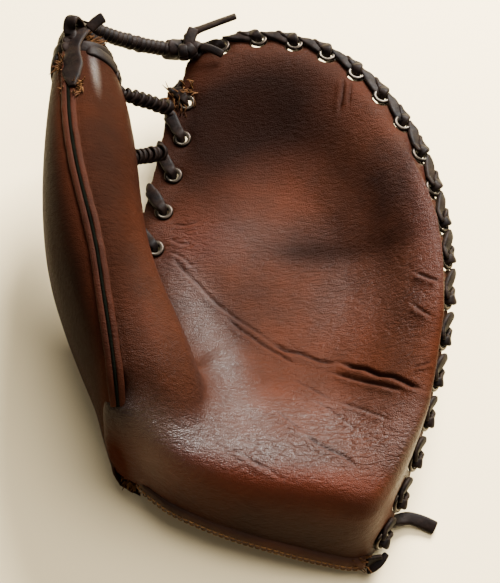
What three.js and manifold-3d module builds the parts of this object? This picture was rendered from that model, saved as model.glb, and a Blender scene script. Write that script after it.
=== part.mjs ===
// First baseman's mitt for the left hand, lying on its back with the pocket up and the thumb stall folded up.
// Millimetres. +X runs from the thumb to the outer edge, +Y from the heel to the fingertips, +Z up out of the pocket.
// The origin is under the middle of the mitt, on the surface that it lies on.

import * as THREE from 'three';
import { mergeVertices } from 'three/addons/utils/BufferGeometryUtils.js';
import Module from 'manifold-3d';

const wasm = await Module();
wasm.setup();

// Overall sizes
const HALF_WIDTH = 106;
const HALF_LENGTH = 149;
const CREST_HEIGHT = 66;
const THUMB_HEIGHT = 110;

// Leather and padding
const LEATHER = 3;
const PALM_PAD = 9;
const POCKET_HEIGHT = 33;
const GAP = 0.35;

// Laced edge: the flat lip in which the palm and the back meet
const LIP_WIDTH = 12;
const EDGE_EYELETS = 18;
const WEB_EYELETS = 5;
const EYELET_INSET = 6.5;
const EYELET_BORE = 5;
const EYELET_WALL = 0.6;
const EYELET_FLANGE = 9;
const EYELET_SHEET = 0.7;
const LACE = 4;
const LACE_ACROSS = LACE * 1.1;

// Thumb stall: its wall, and the welt's depth. The seam on top, the welt in it and the gap at the foot are as wide as
// these angles from their middles.
const THUMB_WALL = 8;
const SEAM_ANGLE = 3;
const WELT_ANGLE = 1.5;
const FOOT_ANGLE = 0.8;
const THUMB_CLEAR = 1.7 * GAP;
const WELT_SINK = 1.2;
const WELT_DEPTH = 2.4;

// Web: bars of lace wound round a core, from the thumb to the palm
const BAR_THICK = 7;
const BAR_WAIST = 0.8;
const BAR_TURN = 5;
const BAR_SAG = 3;

// Heel and wrist
const BINDING_WIDTH = 7;
const BINDING_THICK = 1.1;
const WRIST_CUT = 44;
const STRAP_WIDTH = 24;
const STRAP_THICK = 2.6;

const LEATHER_BROWN = new THREE.MeshStandardMaterial({ color: 0x5a2f22, roughness: 0.5, metalness: 0 });
const LACE_DARK = new THREE.MeshStandardMaterial({ color: 0x2a2220, roughness: 0.6, metalness: 0 });
const WELT_DARK = new THREE.MeshStandardMaterial({ color: 0x1f201b, roughness: 0.7, metalness: 0 });
const EYELET_METAL = new THREE.MeshStandardMaterial({ color: 0xb5a88f, roughness: 0.35, metalness: 0.9 });

// Edge of the body, once round from the corner beside the thumb tip, clockwise seen from above.
// side, along: place in plan, shares of HALF_WIDTH and HALF_LENGTH. rise, crest: heights of the edge and of the padded
// crest inside it, shares of CREST_HEIGHT. tilt: slope of the lip, degrees. inset: crest to edge, share of HALF_WIDTH.
// pad: thickness under the crest, share of CREST_HEIGHT. lip: 1 where the back is laced on, 0 at the open wrist.
// hem: how far inside the palm's edge the back stops at the wrist, share of WRIST_CUT.
const EDGE = [
  { side: -0.30, along: 0.940, rise: 0.645, tilt: -5, inset: 0.12, crest: 0.665, pad: 0.05, lip: 1, hem: 0 },
  { side: 0.03, along: 0.985, rise: 0.73, tilt: -5, inset: 0.15, crest: 0.775, pad: 0.08, lip: 1, hem: 0 },
  { side: 0.39, along: 0.885, rise: 0.82, tilt: -8, inset: 0.15, crest: 0.88, pad: 0.08, lip: 1, hem: 0 },
  { side: 0.68, along: 0.672, rise: 0.85, tilt: -14, inset: 0.15, crest: 0.93, pad: 0.09, lip: 1, hem: 0 },
  { side: 0.875, along: 0.395, rise: 0.82, tilt: -24, inset: 0.11, crest: 0.97, pad: 0.09, lip: 1, hem: 0 },
  { side: 0.955, along: 0.110, rise: 0.74, tilt: -40, inset: 0.07, crest: 1.00, pad: 0.11, lip: 1, hem: 0 },
  { side: 0.950, along: -0.160, rise: 0.63, tilt: -52, inset: 0.06, crest: 1.00, pad: 0.15, lip: 1, hem: 0 },
  { side: 0.885, along: -0.400, rise: 0.48, tilt: -60, inset: 0.045, crest: 1.00, pad: 0.18, lip: 1, hem: 0 },
  { side: 0.78, along: -0.650, rise: 0.31, tilt: -66, inset: 0.045, crest: 1.00, pad: 0.24, lip: 1, hem: 0 },
  { side: 0.66, along: -0.850, rise: 0.19, tilt: -70, inset: 0.08, crest: 0.98, pad: 0.28, lip: 1, hem: 0 },
  { side: 0.525, along: -1.000, rise: 0.14, tilt: -78, inset: 0.14, crest: 0.97, pad: 0.30, lip: 0.8, hem: 0.1 },
  { side: 0.36, along: -0.998, rise: 0.17, tilt: -79, inset: 0.19, crest: 0.97, pad: 0.30, lip: 0.1, hem: 0.7 },
  { side: 0.12, along: -0.970, rise: 0.25, tilt: -80, inset: 0.18, crest: 0.97, pad: 0.32, lip: 0, hem: 1 },
  { side: -0.12, along: -0.925, rise: 0.30, tilt: -80, inset: 0.18, crest: 0.97, pad: 0.32, lip: 0, hem: 1 },
  { side: -0.38, along: -0.850, rise: 0.33, tilt: -78, inset: 0.14, crest: 1.06, pad: 0.30, lip: 0.1, hem: 0.5 },
  { side: -0.54, along: -0.740, rise: 0.55, tilt: -60, inset: 0.08, crest: 1.17, pad: 0.24, lip: 0.3, hem: 0 },
  { side: -0.56, along: -0.550, rise: 0.45, tilt: 0, inset: 0.14, crest: 0.60, pad: 0.12, lip: 0, hem: 0 },
  { side: -0.56, along: -0.200, rise: 0.45, tilt: 0, inset: 0.16, crest: 0.47, pad: 0.06, lip: 0.2, hem: 0 },
  { side: -0.55, along: 0.060, rise: 0.45, tilt: 0, inset: 0.16, crest: 0.48, pad: 0.05, lip: 1, hem: 0 },
  { side: -0.48, along: 0.330, rise: 0.46, tilt: 0, inset: 0.16, crest: 0.49, pad: 0.05, lip: 1, hem: 0 },
  { side: -0.405, along: 0.590, rise: 0.53, tilt: 0, inset: 0.16, crest: 0.56, pad: 0.05, lip: 1, hem: 0 },
  { side: -0.38, along: 0.810, rise: 0.59, tilt: 0, inset: 0.13, crest: 0.62, pad: 0.05, lip: 1, hem: 0 },
];
// Rows of EDGE where lacing, web lacing and heel binding begin and end.
const LACED = { from: 0.42, to: 9.55 };
const WEB_LACED = { from: 18.2, to: 20.6 };
const BOUND = { from: 11, to: 14 };
// Rows of THUMB where the welt begins and ends.
const WELTED = { from: 2.1, to: 10.6 };

// Bars of the web. thumb: row of THUMB that it leaves. turn: degrees round the thumb from its seam. edge: row of EDGE
// that it reaches. off, clear: how far its ends stay from the thumb and from the edge, shares of BAR_THICK.
const BARS = [
  { thumb: 11.55, turn: 78, edge: 21.8, off: 0.95, clear: 0.7 },
  { thumb: 9.4, turn: 86, edge: 20.32, off: 0.5, clear: 1.05 },
  { thumb: 8.0, turn: 90, edge: 19.42, off: 0.5, clear: 1.1 },
];

const CENTRE = { side: 0.17, along: -0.02 };

// Sections of the thumb stall from its base to its tip. along: share of HALF_LENGTH. seam, left, right, foot: places
// across of the top seam, the back's bulge, the face's bulge and the lower edge, shares of HALF_WIDTH.
// top, bulge, front, under: heights of the seam, the widest place, the face's lower edge and the back's lower edge,
// shares of THUMB_HEIGHT. lead: how much nearer to the heel the face bulges than the seam is, share of HALF_LENGTH.
const THUMB = [
  { along: -0.755, seam: -0.58, left: -0.635, right: -0.36, foot: -0.50, top: 0.30, bulge: 0.22, front: 0.18, under: 0, lead: 0.02 },
  { along: -0.715, seam: -0.60, left: -0.655, right: -0.40, foot: -0.52, top: 0.66, bulge: 0.46, front: 0.20, under: 0, lead: 0.01 },
  { along: -0.675, seam: -0.57, left: -0.665, right: -0.30, foot: -0.52, top: 0.755, bulge: 0.50, front: 0.20, under: 0, lead: 0.02 },
  { along: -0.60, seam: -0.58, left: -0.695, right: -0.21, foot: -0.54, top: 0.86, bulge: 0.53, front: 0.22, under: 0, lead: 0.02 },
  { along: -0.50, seam: -0.60, left: -0.76, right: -0.215, foot: -0.56, top: 0.92, bulge: 0.56, front: 0.24, under: 0, lead: 0.02 },
  { along: -0.36, seam: -0.635, left: -0.845, right: -0.30, foot: -0.58, top: 0.97, bulge: 0.60, front: 0.25, under: 0, lead: 0 },
  { along: -0.18, seam: -0.68, left: -0.93, right: -0.42, foot: -0.59, top: 1.00, bulge: 0.64, front: 0.26, under: 0, lead: 0 },
  { along: 0.03, seam: -0.76, left: -0.975, right: -0.50, foot: -0.62, top: 0.99, bulge: 0.67, front: 0.27, under: 0.14, lead: 0 },
  { along: 0.25, seam: -0.83, left: -0.99, right: -0.54, foot: -0.66, top: 0.95, bulge: 0.68, front: 0.32, under: 0.28, lead: 0 },
  { along: 0.47, seam: -0.87, left: -0.99, right: -0.59, foot: -0.70, top: 0.89, bulge: 0.68, front: 0.40, under: 0.37, lead: 0 },
  { along: 0.65, seam: -0.885, left: -0.98, right: -0.67, foot: -0.74, top: 0.84, bulge: 0.67, front: 0.48, under: 0.46, lead: 0 },
  { along: 0.76, seam: -0.885, left: -0.96, right: -0.75, foot: -0.80, top: 0.80, bulge: 0.68, front: 0.57, under: 0.56, lead: 0 },
  { along: 0.82, seam: -0.875, left: -0.90, right: -0.84, foot: -0.86, top: 0.74, bulge: 0.69, front: 0.65, under: 0.64, lead: 0 },
];
const vec = (x, y, z) => new THREE.Vector3(x, y, z);
const degrees = (a) => (a * Math.PI) / 180;
const share = (w) => Math.min(1, Math.max(0, w));
const mix = (a, b, w) => a + (b - a) * w;
const spread = (count, make) => Array.from({ length: count }, (_, i) => make(count > 1 ? i / (count - 1) : 0, i));

// A column of a table at row number t, on a smooth curve through the rows; a closed table runs on from its first row.
function column(rows, key, t, closed) {
  const n = rows.length;
  const at = (i) => rows[closed ? (i + n) % n : Math.min(n - 1, Math.max(0, i))][key];
  const i = Math.min(Math.floor(t), closed ? n : n - 2);
  const w = t - i;
  const [a, b, c, d] = [at(i - 1), at(i), at(i + 1), at(i + 2)];
  return b + 0.5 * w * (c - a + w * (2 * a - 5 * b + 4 * c - d + w * (3 * (b - c) + d - a)));
}

// A solid between two matching grids of points. Opposite borders are joined where round is true, and walled otherwise.
function slab(outer, inner, round) {
  const corners = [];
  const quad = (a, b, c, d) => corners.push(a, b, c, a, c, d);
  const rows = outer.length;
  const columns = outer[0].length;
  for (let i = 0; i < (round ? rows : rows - 1); i++) {
    const k = (i + 1) % rows;
    for (let j = 0; j < columns - 1; j++) {
      quad(outer[i][j], outer[k][j], outer[k][j + 1], outer[i][j + 1]);
      quad(inner[i][j + 1], inner[k][j + 1], inner[k][j], inner[i][j]);
    }
    quad(outer[i][0], inner[i][0], inner[k][0], outer[k][0]);
    quad(outer[k][columns - 1], inner[k][columns - 1], inner[i][columns - 1], outer[i][columns - 1]);
  }
  if (!round)
    for (let j = 0; j < columns - 1; j++) {
      quad(outer[0][j], outer[0][j + 1], inner[0][j + 1], inner[0][j]);
      quad(outer[rows - 1][j + 1], outer[rows - 1][j], inner[rows - 1][j], inner[rows - 1][j + 1]);
    }
  return solid(new THREE.BufferGeometry().setFromPoints(corners));
}

// A manifold solid from a closed geometry, turned the right way out.
function solid(geometry) {
  const bare = new THREE.BufferGeometry().setAttribute('position', geometry.getAttribute('position'));
  if (geometry.index) bare.setIndex(geometry.index);
  const merged = mergeVertices(bare, 1e-3);
  const kept = [];
  for (let i = 0; i < merged.index.count; i += 3) {
    const [a, b, c] = [0, 1, 2].map((k) => merged.index.getX(i + k));
    if (a !== b && b !== c && c !== a) kept.push(a, b, c);
  }
  const build = (triVerts) =>
    new wasm.Manifold(
      new wasm.Mesh({ numProp: 3, vertProperties: merged.attributes.position.array, triVerts: new Uint32Array(triVerts) }),
    );
  const made = build(kept);
  return made.volume() > 0 ? made : build(kept.reverse());
}

function mesh(name, made, material) {
  const { vertProperties, triVerts } = made.getMesh();
  const geometry = new THREE.BufferGeometry();
  geometry.setAttribute('position', new THREE.BufferAttribute(new Float32Array(vertProperties), 3));
  geometry.setIndex(new THREE.BufferAttribute(new Uint32Array(triVerts), 1));
  geometry.computeVertexNormals();
  const piece = new THREE.Mesh(geometry, material);
  piece.name = name;
  return piece;
}

// Body: radial sections from the centre of the pocket to the edge

const AROUND = EDGE.length * 2;
const POCKET_STEPS = 5;
const FACE_STEPS = 3;
const centre = vec(CENTRE.side * HALF_WIDTH, CENTRE.along * HALF_LENGTH, 0);
const edge = (t, key) => column(EDGE, key, t, true);
const edgePoint = (t) => vec(edge(t, 'side') * HALF_WIDTH, edge(t, 'along') * HALF_LENGTH, 0);

// The section at row number t: rim and crest, directions level, along the lip and up from it, and its sizes.
function section(t) {
  const rim = edgePoint(t);
  const run = edgePoint(t + 0.25).sub(edgePoint(t - 0.25)).normalize();
  const level = rim.clone().sub(centre).normalize().add(vec(-run.y, run.x, 0)).normalize();
  const tilt = degrees(edge(t, 'tilt'));
  const out = level.clone().multiplyScalar(Math.cos(tilt)).setZ(Math.sin(tilt));
  const up = level.clone().multiplyScalar(-Math.sin(tilt)).setZ(Math.cos(tilt));
  const crest = rim.clone().addScaledVector(level, -edge(t, 'inset') * HALF_WIDTH);
  rim.setZ(edge(t, 'rise') * CREST_HEIGHT);
  crest.setZ(edge(t, 'crest') * CREST_HEIGHT);
  return { rim, crest, level, out, up, pad: edge(t, 'pad') * CREST_HEIGHT,
    lip: share(edge(t, 'lip')), hem: share(edge(t, 'hem')) * WRIST_CUT };
}

// Points after p on a smooth line from p, leaving along the direction start, to q, arriving along the direction end.
function sweepTo(p, q, start, end, steps) {
  const h = p.distanceTo(q);
  return Array.from({ length: steps }, (_, k) => {
    const w = (k + 1) / steps;
    return p.clone().multiplyScalar(2 * w ** 3 - 3 * w ** 2 + 1)
      .addScaledVector(start, h * (w ** 3 - 2 * w ** 2 + w))
      .addScaledVector(q, 3 * w ** 2 - 2 * w ** 3)
      .addScaledVector(end, h * (w ** 3 - w ** 2));
  });
}

// The palm's section: a dished pocket, its crest, the fall to the lip, and the lip.
function palmLine(s, crest, floor, down) {
  const rim = s.rim.clone().addScaledVector(s.up, -down);
  const root = rim.clone().addScaledVector(s.out, -LIP_WIDTH);
  const pocket = Array.from({ length: POCKET_STEPS + 1 }, (_, j) => {
    const q = j / POCKET_STEPS;
    const rise = (1 - Math.cos(Math.PI * q ** 1.7)) / 2;
    return centre.clone().lerp(crest, q).setZ(mix(floor, crest.z, rise));
  });
  return [...pocket, ...sweepTo(crest, root, s.level, s.out, FACE_STEPS), rim];
}

const sections = Array.from({ length: AROUND }, (_, i) => section((i * EDGE.length) / AROUND));

// The palm's padded wall, moved by shift.
function palmBody(shift) {
  const moved = (line) => line.map((p) => p.clone().add(shift));
  const top = sections.map((s) => moved(palmLine(s, s.crest, POCKET_HEIGHT, 0)));
  const lining = sections.map((s) => {
    const crest = s.crest.clone().addScaledVector(s.level, -2 * LEATHER);
    return moved(palmLine(s, crest.setZ(s.crest.z - s.pad), POCKET_HEIGHT - PALM_PAD, LEATHER));
  });
  return slab(top, lining, true);
}

// The back: flat where it lies, then up to the lip, or stopping short of the palm's edge at the open wrist.
const SOLE_SHARE = 0.62;
const BACK_STEPS = 5;
function backLine(s, thick) {
  const laced = s.rim.clone().addScaledVector(s.up, thick - 2 * LEATHER - GAP);
  const open = s.rim.clone().addScaledVector(s.level, -s.hem).setZ(STRAP_THICK + GAP + thick);
  const rim = open.lerp(laced, s.lip);
  const out = s.level.clone().lerp(s.out, s.lip).normalize();
  const root = rim.clone().addScaledVector(out, -LIP_WIDTH);
  const sole = centre.clone().lerp(root, SOLE_SHARE).setZ(thick);
  const start = sole.clone().sub(centre).setZ(0).normalize();
  return [centre.clone(), centre.clone().lerp(sole, 0.5), sole, ...sweepTo(sole, root, start, out, BACK_STEPS), rim]
    .map((p) => p.setZ(Math.max(p.z, thick)));
}

function backBody() {
  return slab(sections.map((s) => backLine(s, LEATHER)), sections.map((s) => backLine(s, 0)), true);
}

// Thumb stall: two half shells that meet in the welted seam on top and in the lower edge

const THUMB_STEPS = 21;
const HALF_STEPS = 6;

// A point of the thumb's section at row number t. turn: degrees from the seam, clockwise seen from the heel.
function thumbPoint(t, turn, shrink) {
  const get = (key) => column(THUMB, key, t, false);
  const front = turn <= 180;
  const upper = Math.cos(degrees(turn)) >= 0;
  const bulge = get('bulge') * THUMB_HEIGHT;
  const side = get(front ? 'right' : 'left') * HALF_WIDTH;
  const pole = get(upper ? 'seam' : 'foot') * HALF_WIDTH;
  const height = get(upper ? 'top' : front ? 'front' : 'under') * THUMB_HEIGHT;
  const width = Math.max(1, Math.abs(side - pole) - shrink);
  const reach = Math.max(1, Math.abs(height - bulge) - shrink);
  const x = pole + width * Math.abs(Math.sin(degrees(turn))) * (front ? 1 : -1);
  const z = bulge + reach * Math.abs(Math.cos(degrees(turn))) * (upper ? 1 : -1);
  const lead = front ? get('lead') * Math.sin(degrees(turn)) : 0;
  return vec(x, (get('along') - lead) * HALF_LENGTH, Math.max(z, shrink));
}

function thumbHalf(from, to, wall) {
  const grid = (shrink) =>
    Array.from({ length: THUMB_STEPS + 1 }, (_, i) => {
      const t = (i * (THUMB.length - 1)) / THUMB_STEPS;
      return Array.from({ length: HALF_STEPS + 1 }, (_, j) => thumbPoint(t, mix(from, to, j / HALF_STEPS), shrink));
    });
  return slab(grid(0), grid(wall), false);
}

// The faceted lip at row number t: its rim, and directions along it, out and up.
function lip(t) {
  const u = (t * AROUND) / EDGE.length;
  const i = Math.floor(u);
  const [a, b] = [sections[i % AROUND], sections[(i + 1) % AROUND]];
  const root = (s) => s.rim.clone().addScaledVector(s.out, -LIP_WIDTH);
  const rim = a.rim.clone().lerp(b.rim, u - i);
  const out = rim.clone().sub(root(a).lerp(root(b), u - i)).normalize();
  const along = b.rim.clone().sub(a.rim).normalize();
  const up = along.clone().cross(out).normalize();
  return { rim, along: out.clone().cross(up), out, up };
}

const onLip = (t, out, up) => {
  const f = lip(t);
  return f.rim.clone().addScaledVector(f.out, out).addScaledVector(f.up, up);
};

// Row numbers of equally spaced stations along the lip.
function stations(range, count) {
  const fine = spread(400, (w) => mix(range.from, range.to, w));
  const run = [0];
  for (let i = 1; i < fine.length; i++)
    run.push(run[i - 1] + onLip(fine[i], -EYELET_INSET, 0).distanceTo(onLip(fine[i - 1], -EYELET_INSET, 0)));
  return spread(count, (w) => fine[run.findIndex((r) => r >= w * run[run.length - 1] - 1e-6)]);
}

// A line straight from point to point, with as many steps as it has stretches.
class Route extends THREE.Curve {
  constructor(points) {
    super();
    this.points = points;
    this.stretches = points.length - 1;
  }
  getPointAt(u) {
    const i = Math.min(Math.floor(u * this.stretches + 1e-6), this.stretches - 1);
    return this.points[i].clone().lerp(this.points[i + 1], u * this.stretches - i);
  }
  getTangentAt(u) {
    const i = Math.round(u * this.stretches);
    return this.points[Math.min(this.stretches, i + 1)].clone().sub(this.points[Math.max(0, i - 1)]).normalize();
  }
}

// A tube along a line of points. waist: thickness at every second point, as a share of the whole.
function tube(points, thick, sides, waist = 1) {
  const corner = (k) => new THREE.Vector2(thick / 2, 0).rotateAround(new THREE.Vector2(), (2 * Math.PI * (k + 0.5)) / sides);
  const shape = new THREE.Shape(Array.from({ length: sides }, (_, k) => corner(k)));
  const route = new Route(points);
  const geometry = new THREE.ExtrudeGeometry(shape, { steps: route.stretches, extrudePath: route, bevelEnabled: false });
  const place = geometry.getAttribute('position');
  for (let i = 0; waist < 1 && i < place.count; i++) {
    const p = vec(place.getX(i), place.getY(i), place.getZ(i));
    const near = points.reduce((best, q, k) => (q.distanceTo(p) < points[best].distanceTo(p) ? k : best), 0);
    if (near % 2 === 0) p.lerp(points[near], 1 - waist);
    place.setXYZ(i, p.x, p.y, p.z);
  }
  return solid(geometry);
}

const smooth = (points, steps) => new THREE.CatmullRomCurve3(points, false, 'centripetal').getPoints(steps);

// Eyelets and the holes for them

const LIP_DEPTH = 2 * LEATHER + GAP;
const SHANK = EYELET_BORE / 2 + EYELET_WALL;

function turned(profile, t, segments) {
  const f = lip(t);
  const lathe = new THREE.LatheGeometry([...profile, profile[0]].map(([r, h]) => new THREE.Vector2(r, h)), segments);
  const axes = new THREE.Matrix4().makeBasis(f.out.clone(), f.up.clone(), f.out.clone().cross(f.up));
  return solid(lathe.applyMatrix4(axes.setPosition(onLip(t, -EYELET_INSET, 0))));
}

const eyelet = (t) =>
  turned([
    [EYELET_BORE / 2, -LIP_DEPTH],
    [SHANK, -LIP_DEPTH],
    [SHANK, GAP],
    [EYELET_FLANGE / 2, GAP],
    [EYELET_BORE / 2 + EYELET_WALL / 2, GAP + EYELET_SHEET],
  ], t, 8);

const HOLE = (SHANK + GAP) / Math.cos(Math.PI / 6);
const hole = (t) => turned([[0, -2 * LIP_DEPTH], [HOLE, -2 * LIP_DEPTH], [HOLE, LIP_DEPTH], [0, LIP_DEPTH]], t, 6);

const edgeStations = stations(LACED, EDGE_EYELETS).reverse();
const webStations = stations(WEB_LACED, WEB_EYELETS);

// Whip lacing: up through an eyelet, out over the rim, back underneath and up through the next.
const LACE_LIFT = EYELET_SHEET + 2.5 * GAP + LACE / 2;
const LACE_REACH = 4 * GAP + LACE / 2;
const LACE_BEND = LACE * 0.68;
const LIFT = GAP + LACE / 2;
const INNER = -EYELET_INSET;
const BELOW = -LIP_DEPTH - LACE_LIFT;

function whip(from, to) {
  const t = (w) => mix(from, to, w);
  return [
    onLip(t(0), INNER, LACE_LIFT - LACE_BEND),
    onLip(t(0.03), INNER + LACE_BEND * 0.3, LACE_LIFT - LACE_BEND * 0.3),
    onLip(t(0.08), INNER + LACE_BEND, LACE_LIFT),
    onLip(t(0.25), GAP, LACE_LIFT),
    onLip(t(0.37), LACE_REACH, -GAP),
    onLip(t(0.55), LACE_REACH, GAP - LIP_DEPTH),
    onLip(t(0.67), GAP, BELOW),
    onLip(t(0.92), INNER + LACE_BEND, BELOW),
    onLip(t(0.97), INNER + LACE_BEND * 0.3, BELOW + LACE_BEND * 0.3),
    onLip(t(1), INNER, BELOW + LACE_BEND),
  ];
}

const whips = (list) => list.slice(1).flatMap((t, i) => whip(list[i], t));

// The middle line of a bar of the web, sagging between the thumb and the edge.
function barLine({ thumb, turn, edge: t, off, clear }) {
  const start = thumbPoint(thumb, turn, -off * BAR_THICK);
  const end = onLip(t, clear * BAR_THICK, -LIP_DEPTH / 2);
  const middle = start.clone().lerp(end, 0.5);
  middle.z -= 2 * BAR_SAG;
  return new THREE.QuadraticBezierCurve3(start, middle, end);
}

function bar(row) {
  const line = barLine(row);
  const turns = Math.round(line.getLength() / BAR_TURN);
  return tube(line.getSpacedPoints(2 * turns), BAR_THICK, 5, BAR_WAIST);
}

// Lace end that comes up through the first eyelet, from a tail on the table.
const beside = (t, level, height) => {
  const f = lip(t);
  return f.rim.clone().addScaledVector(f.out.setZ(0).normalize(), level).setZ(height);
};
const tailIn = (t) => [
  beside(t - 0.98, 4.8 * LACE, LACE * 0.56),
  beside(t - 0.9, 2.6 * LACE, LACE * 0.75),
  beside(t - 0.75, 0.5 * LACE, LACE * 1.1),
  onLip(t - 0.3, LACE_REACH * 1.3, BELOW * 0.8),
  onLip(t, LACE_REACH, BELOW),
  onLip(t, INNER + LACE_BEND, BELOW),
  onLip(t, INNER + LACE_BEND * 0.3, BELOW + LACE_BEND * 0.3),
  onLip(t, INNER, BELOW + LACE_BEND),
];

// Lace end that leaves the last eyelet, coils round the first bar and ends in a tail over the corner.
const COIL = (BAR_THICK + LACE) / 2 + 2 * GAP;
const COIL_TURNS = 2;
const COIL_PITCH = LACE + 3 * GAP;
const COIL_START = LACE;
function coilOut(t) {
  const line = barLine(BARS[0]);
  const coil = spread(7 * COIL_TURNS + 1, (w) => {
    const turn = 2 * Math.PI * COIL_TURNS * w;
    const u = 1 - (COIL_START + COIL_PITCH * COIL_TURNS * (1 - w)) / line.getLength();
    const run = line.getTangentAt(u);
    const side = run.clone().cross(vec(0, 0, 1)).normalize();
    return line.getPointAt(u).addScaledVector(side, COIL * Math.sin(turn)).addScaledVector(side.cross(run), COIL * Math.cos(turn));
  });
  return [
    onLip(t, INNER, LACE_LIFT - LACE_BEND),
    onLip(t - 0.03, INNER + LACE_BEND * 0.3, LACE_LIFT - LACE_BEND * 0.3),
    onLip(mix(t, 0, 0.5), INNER + LACE_BEND, LACE_LIFT),
    onLip(0.02, INNER / 3, LACE_LIFT),
    onLip(EDGE.length - 0.12, LACE_REACH, LACE_LIFT * 1.3),
    ...coil,
    onLip(EDGE.length - 0.05, LACE_REACH, COIL + LACE_LIFT * 0.8),
    onLip(0.35, LACE_REACH * 0.6, COIL + LACE_LIFT * 0.9),
    onLip(0.75, LACE_REACH, COIL + LACE_LIFT * 1.2),
  ];
}

const edgeLine = [...tailIn(edgeStations[0]), ...whips(edgeStations), ...coilOut(LACED.from)];

// Web lacing, its two ends passed under the edge.
const webLine = [
  onLip(webStations[0], INNER + LACE_BEND * 2, BELOW),
  onLip(webStations[0], INNER + LACE_BEND, BELOW),
  onLip(webStations[0], INNER + LACE_BEND * 0.3, BELOW + LACE_BEND * 0.3),
  onLip(webStations[0], INNER, BELOW + LACE_BEND),
  ...whips([...webStations, WEB_LACED.to + 0.55]).slice(0, -3),
];

// Thumb laces: one from the first bar round the tip, one tied over the tip and down the end of the seam.
const aroundThumb = (rows) => smooth(rows.map(([t, turn, rise]) => thumbPoint(t, (turn + 360) % 360, -LIFT - rise)), 2 * rows.length);
const thumbLoop = aroundThumb([
  [9.9, 100, 0], [10.5, 96, 0], [10.85, 88, 0.4], [11.1, 64, 0.7], [11.15, 30, 0.6], [11.15, 0, 0.6],
  [11.15, -50, 0.7], [11.15, -110, 1], [11.1, -165, 1],
]);
const thumbTie = aroundThumb([
  [10.0, 0, 0.3], [10.4, 0, 0.3], [10.6, 0, 1.2], [10.85, 0, LACE + 1.2], [11.15, 2, LACE + 2.4], [11.4, 10, LACE + 1.8],
  [11.65, 35, LACE + 0.3], [11.85, 65, LACE * 1.3],
]);

// Welt: a strip sunk in the seam between the two halves of the thumb.
function weltStrip() {
  const grid = (shrink) =>
    spread(15, (w) => [-1, 1].map((side) => {
      const t = mix(WELTED.from, WELTED.to, w);
      return thumbPoint(t, 0, shrink).setX(thumbPoint(t, (360 + side * WELT_ANGLE) % 360, WELT_SINK + WELT_DEPTH).x);
    }));
  return slab(grid(WELT_SINK), grid(WELT_SINK + WELT_DEPTH), false);
}

// Binding: a strip folded over the palm's lower edge at the heel.
function bindingStrip() {
  const fold = (clear) => [[-BINDING_WIDTH, clear], [clear, clear], [clear, -LEATHER - clear], [-BINDING_WIDTH, -LEATHER - clear]];
  const bound = sections.slice(BOUND.from * 2, BOUND.to * 2 + 1);
  const grid = (clear) =>
    bound.map((s) => fold(clear).map(([out, up]) => s.rim.clone().addScaledVector(s.out, out).addScaledVector(s.up, up)));
  return slab(grid(1.4 * GAP + BINDING_THICK), grid(1.4 * GAP), false);
}

// Strap: across the open wrist, outside the back.
function strapBand() {
  const side = (level) =>
    spread(11, (w) => [0.5, 1.5].map((wide) => {
      const t = mix(10.9, 14.2, w);
      const inward = centre.clone().sub(edgePoint(t)).normalize();
      return edgePoint(t).addScaledVector(inward, STRAP_WIDTH * wide).setZ(level);
    }));
  return slab(side(STRAP_THICK), side(0), false);
}

// A short end of lace at the heel's outer corner.
const cornerEnd = [
  onLip(10.1, -2 * LIFT, LIFT + 1.5 * GAP),
  onLip(9.97, -LIFT, 1.2 * LIFT),
  onLip(9.85, -LIFT / 2, 1.8 * LIFT),
  onLip(9.72, 0, 2.6 * LIFT),
];

const holes = [...edgeStations, ...webStations].map(hole);
const whole = (made) => made.decompose().sort((a, b) => b.volume() - a.volume())[0];
const cut = (made) => whole(holes.reduce((left, one) => left.subtract(one), made));

const palmShape = palmBody(vec(0, 0, 0));
const palm = cut(palmShape);

// The thumb's face, cut clear of the palm on every side.
const ways = [vec(1, 0, 0), vec(0, 1, 0), vec(0, 0, 1)].flatMap((way) => [way, way.clone().negate()]);
const around = ways.map((way) => palmBody(way.multiplyScalar(THUMB_CLEAR)));
const thumbFace = cut([palmShape, ...around].reduce((left, one) => left.subtract(one),
  thumbHalf(SEAM_ANGLE, 180 - FOOT_ANGLE, THUMB_WALL)));
const back = cut(backBody().add(thumbHalf(180 + FOOT_ANGLE, 360 - SEAM_ANGLE, LEATHER)));

const mitt = new THREE.Group();
const add = (name, made, material) => mitt.add(mesh(name, made, material));
add('palm', palm, LEATHER_BROWN);
add('thumb_face', thumbFace, LEATHER_BROWN);
add('back', back, LEATHER_BROWN);
add('thumb_welt', weltStrip(), WELT_DARK);
add('heel_binding', bindingStrip(), LEATHER_BROWN);
add('wrist_strap', strapBand(), LEATHER_BROWN);
[...edgeStations].reverse().forEach((t, i) => add(`eyelet_${String(i + 1).padStart(2, '0')}`, eyelet(t), EYELET_METAL));
webStations.forEach((t, i) => add(`web_eyelet_${i + 1}`, eyelet(t), EYELET_METAL));
add('edge_lace', tube(edgeLine, LACE_ACROSS, 4), LACE_DARK);
add('web_lace', tube(webLine, LACE_ACROSS, 4), LACE_DARK);
add('corner_lace', tube(cornerEnd, LACE_ACROSS, 4), LACE_DARK);
BARS.forEach((row, i) => add(`web_bar_${i + 1}`, bar(row), LACE_DARK));
add('thumb_lace', tube(thumbLoop, LACE_ACROSS, 4), LACE_DARK);
add('thumb_tie', tube(thumbTie, LACE_ACROSS, 4), LACE_DARK);

// The origin goes under the middle of the whole.
const box = new THREE.Box3().setFromObject(mitt);
const middle = box.getCenter(vec(0, 0, 0)).setZ(box.min.z);
mitt.children.forEach((piece) => piece.geometry.translate(-middle.x, -middle.y, -middle.z));

export default mitt;
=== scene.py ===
import math
import random
import bmesh
import bpy
import numpy as np
from mathutils import Matrix, Vector, noise
from mathutils.bvhtree import BVHTree


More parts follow.
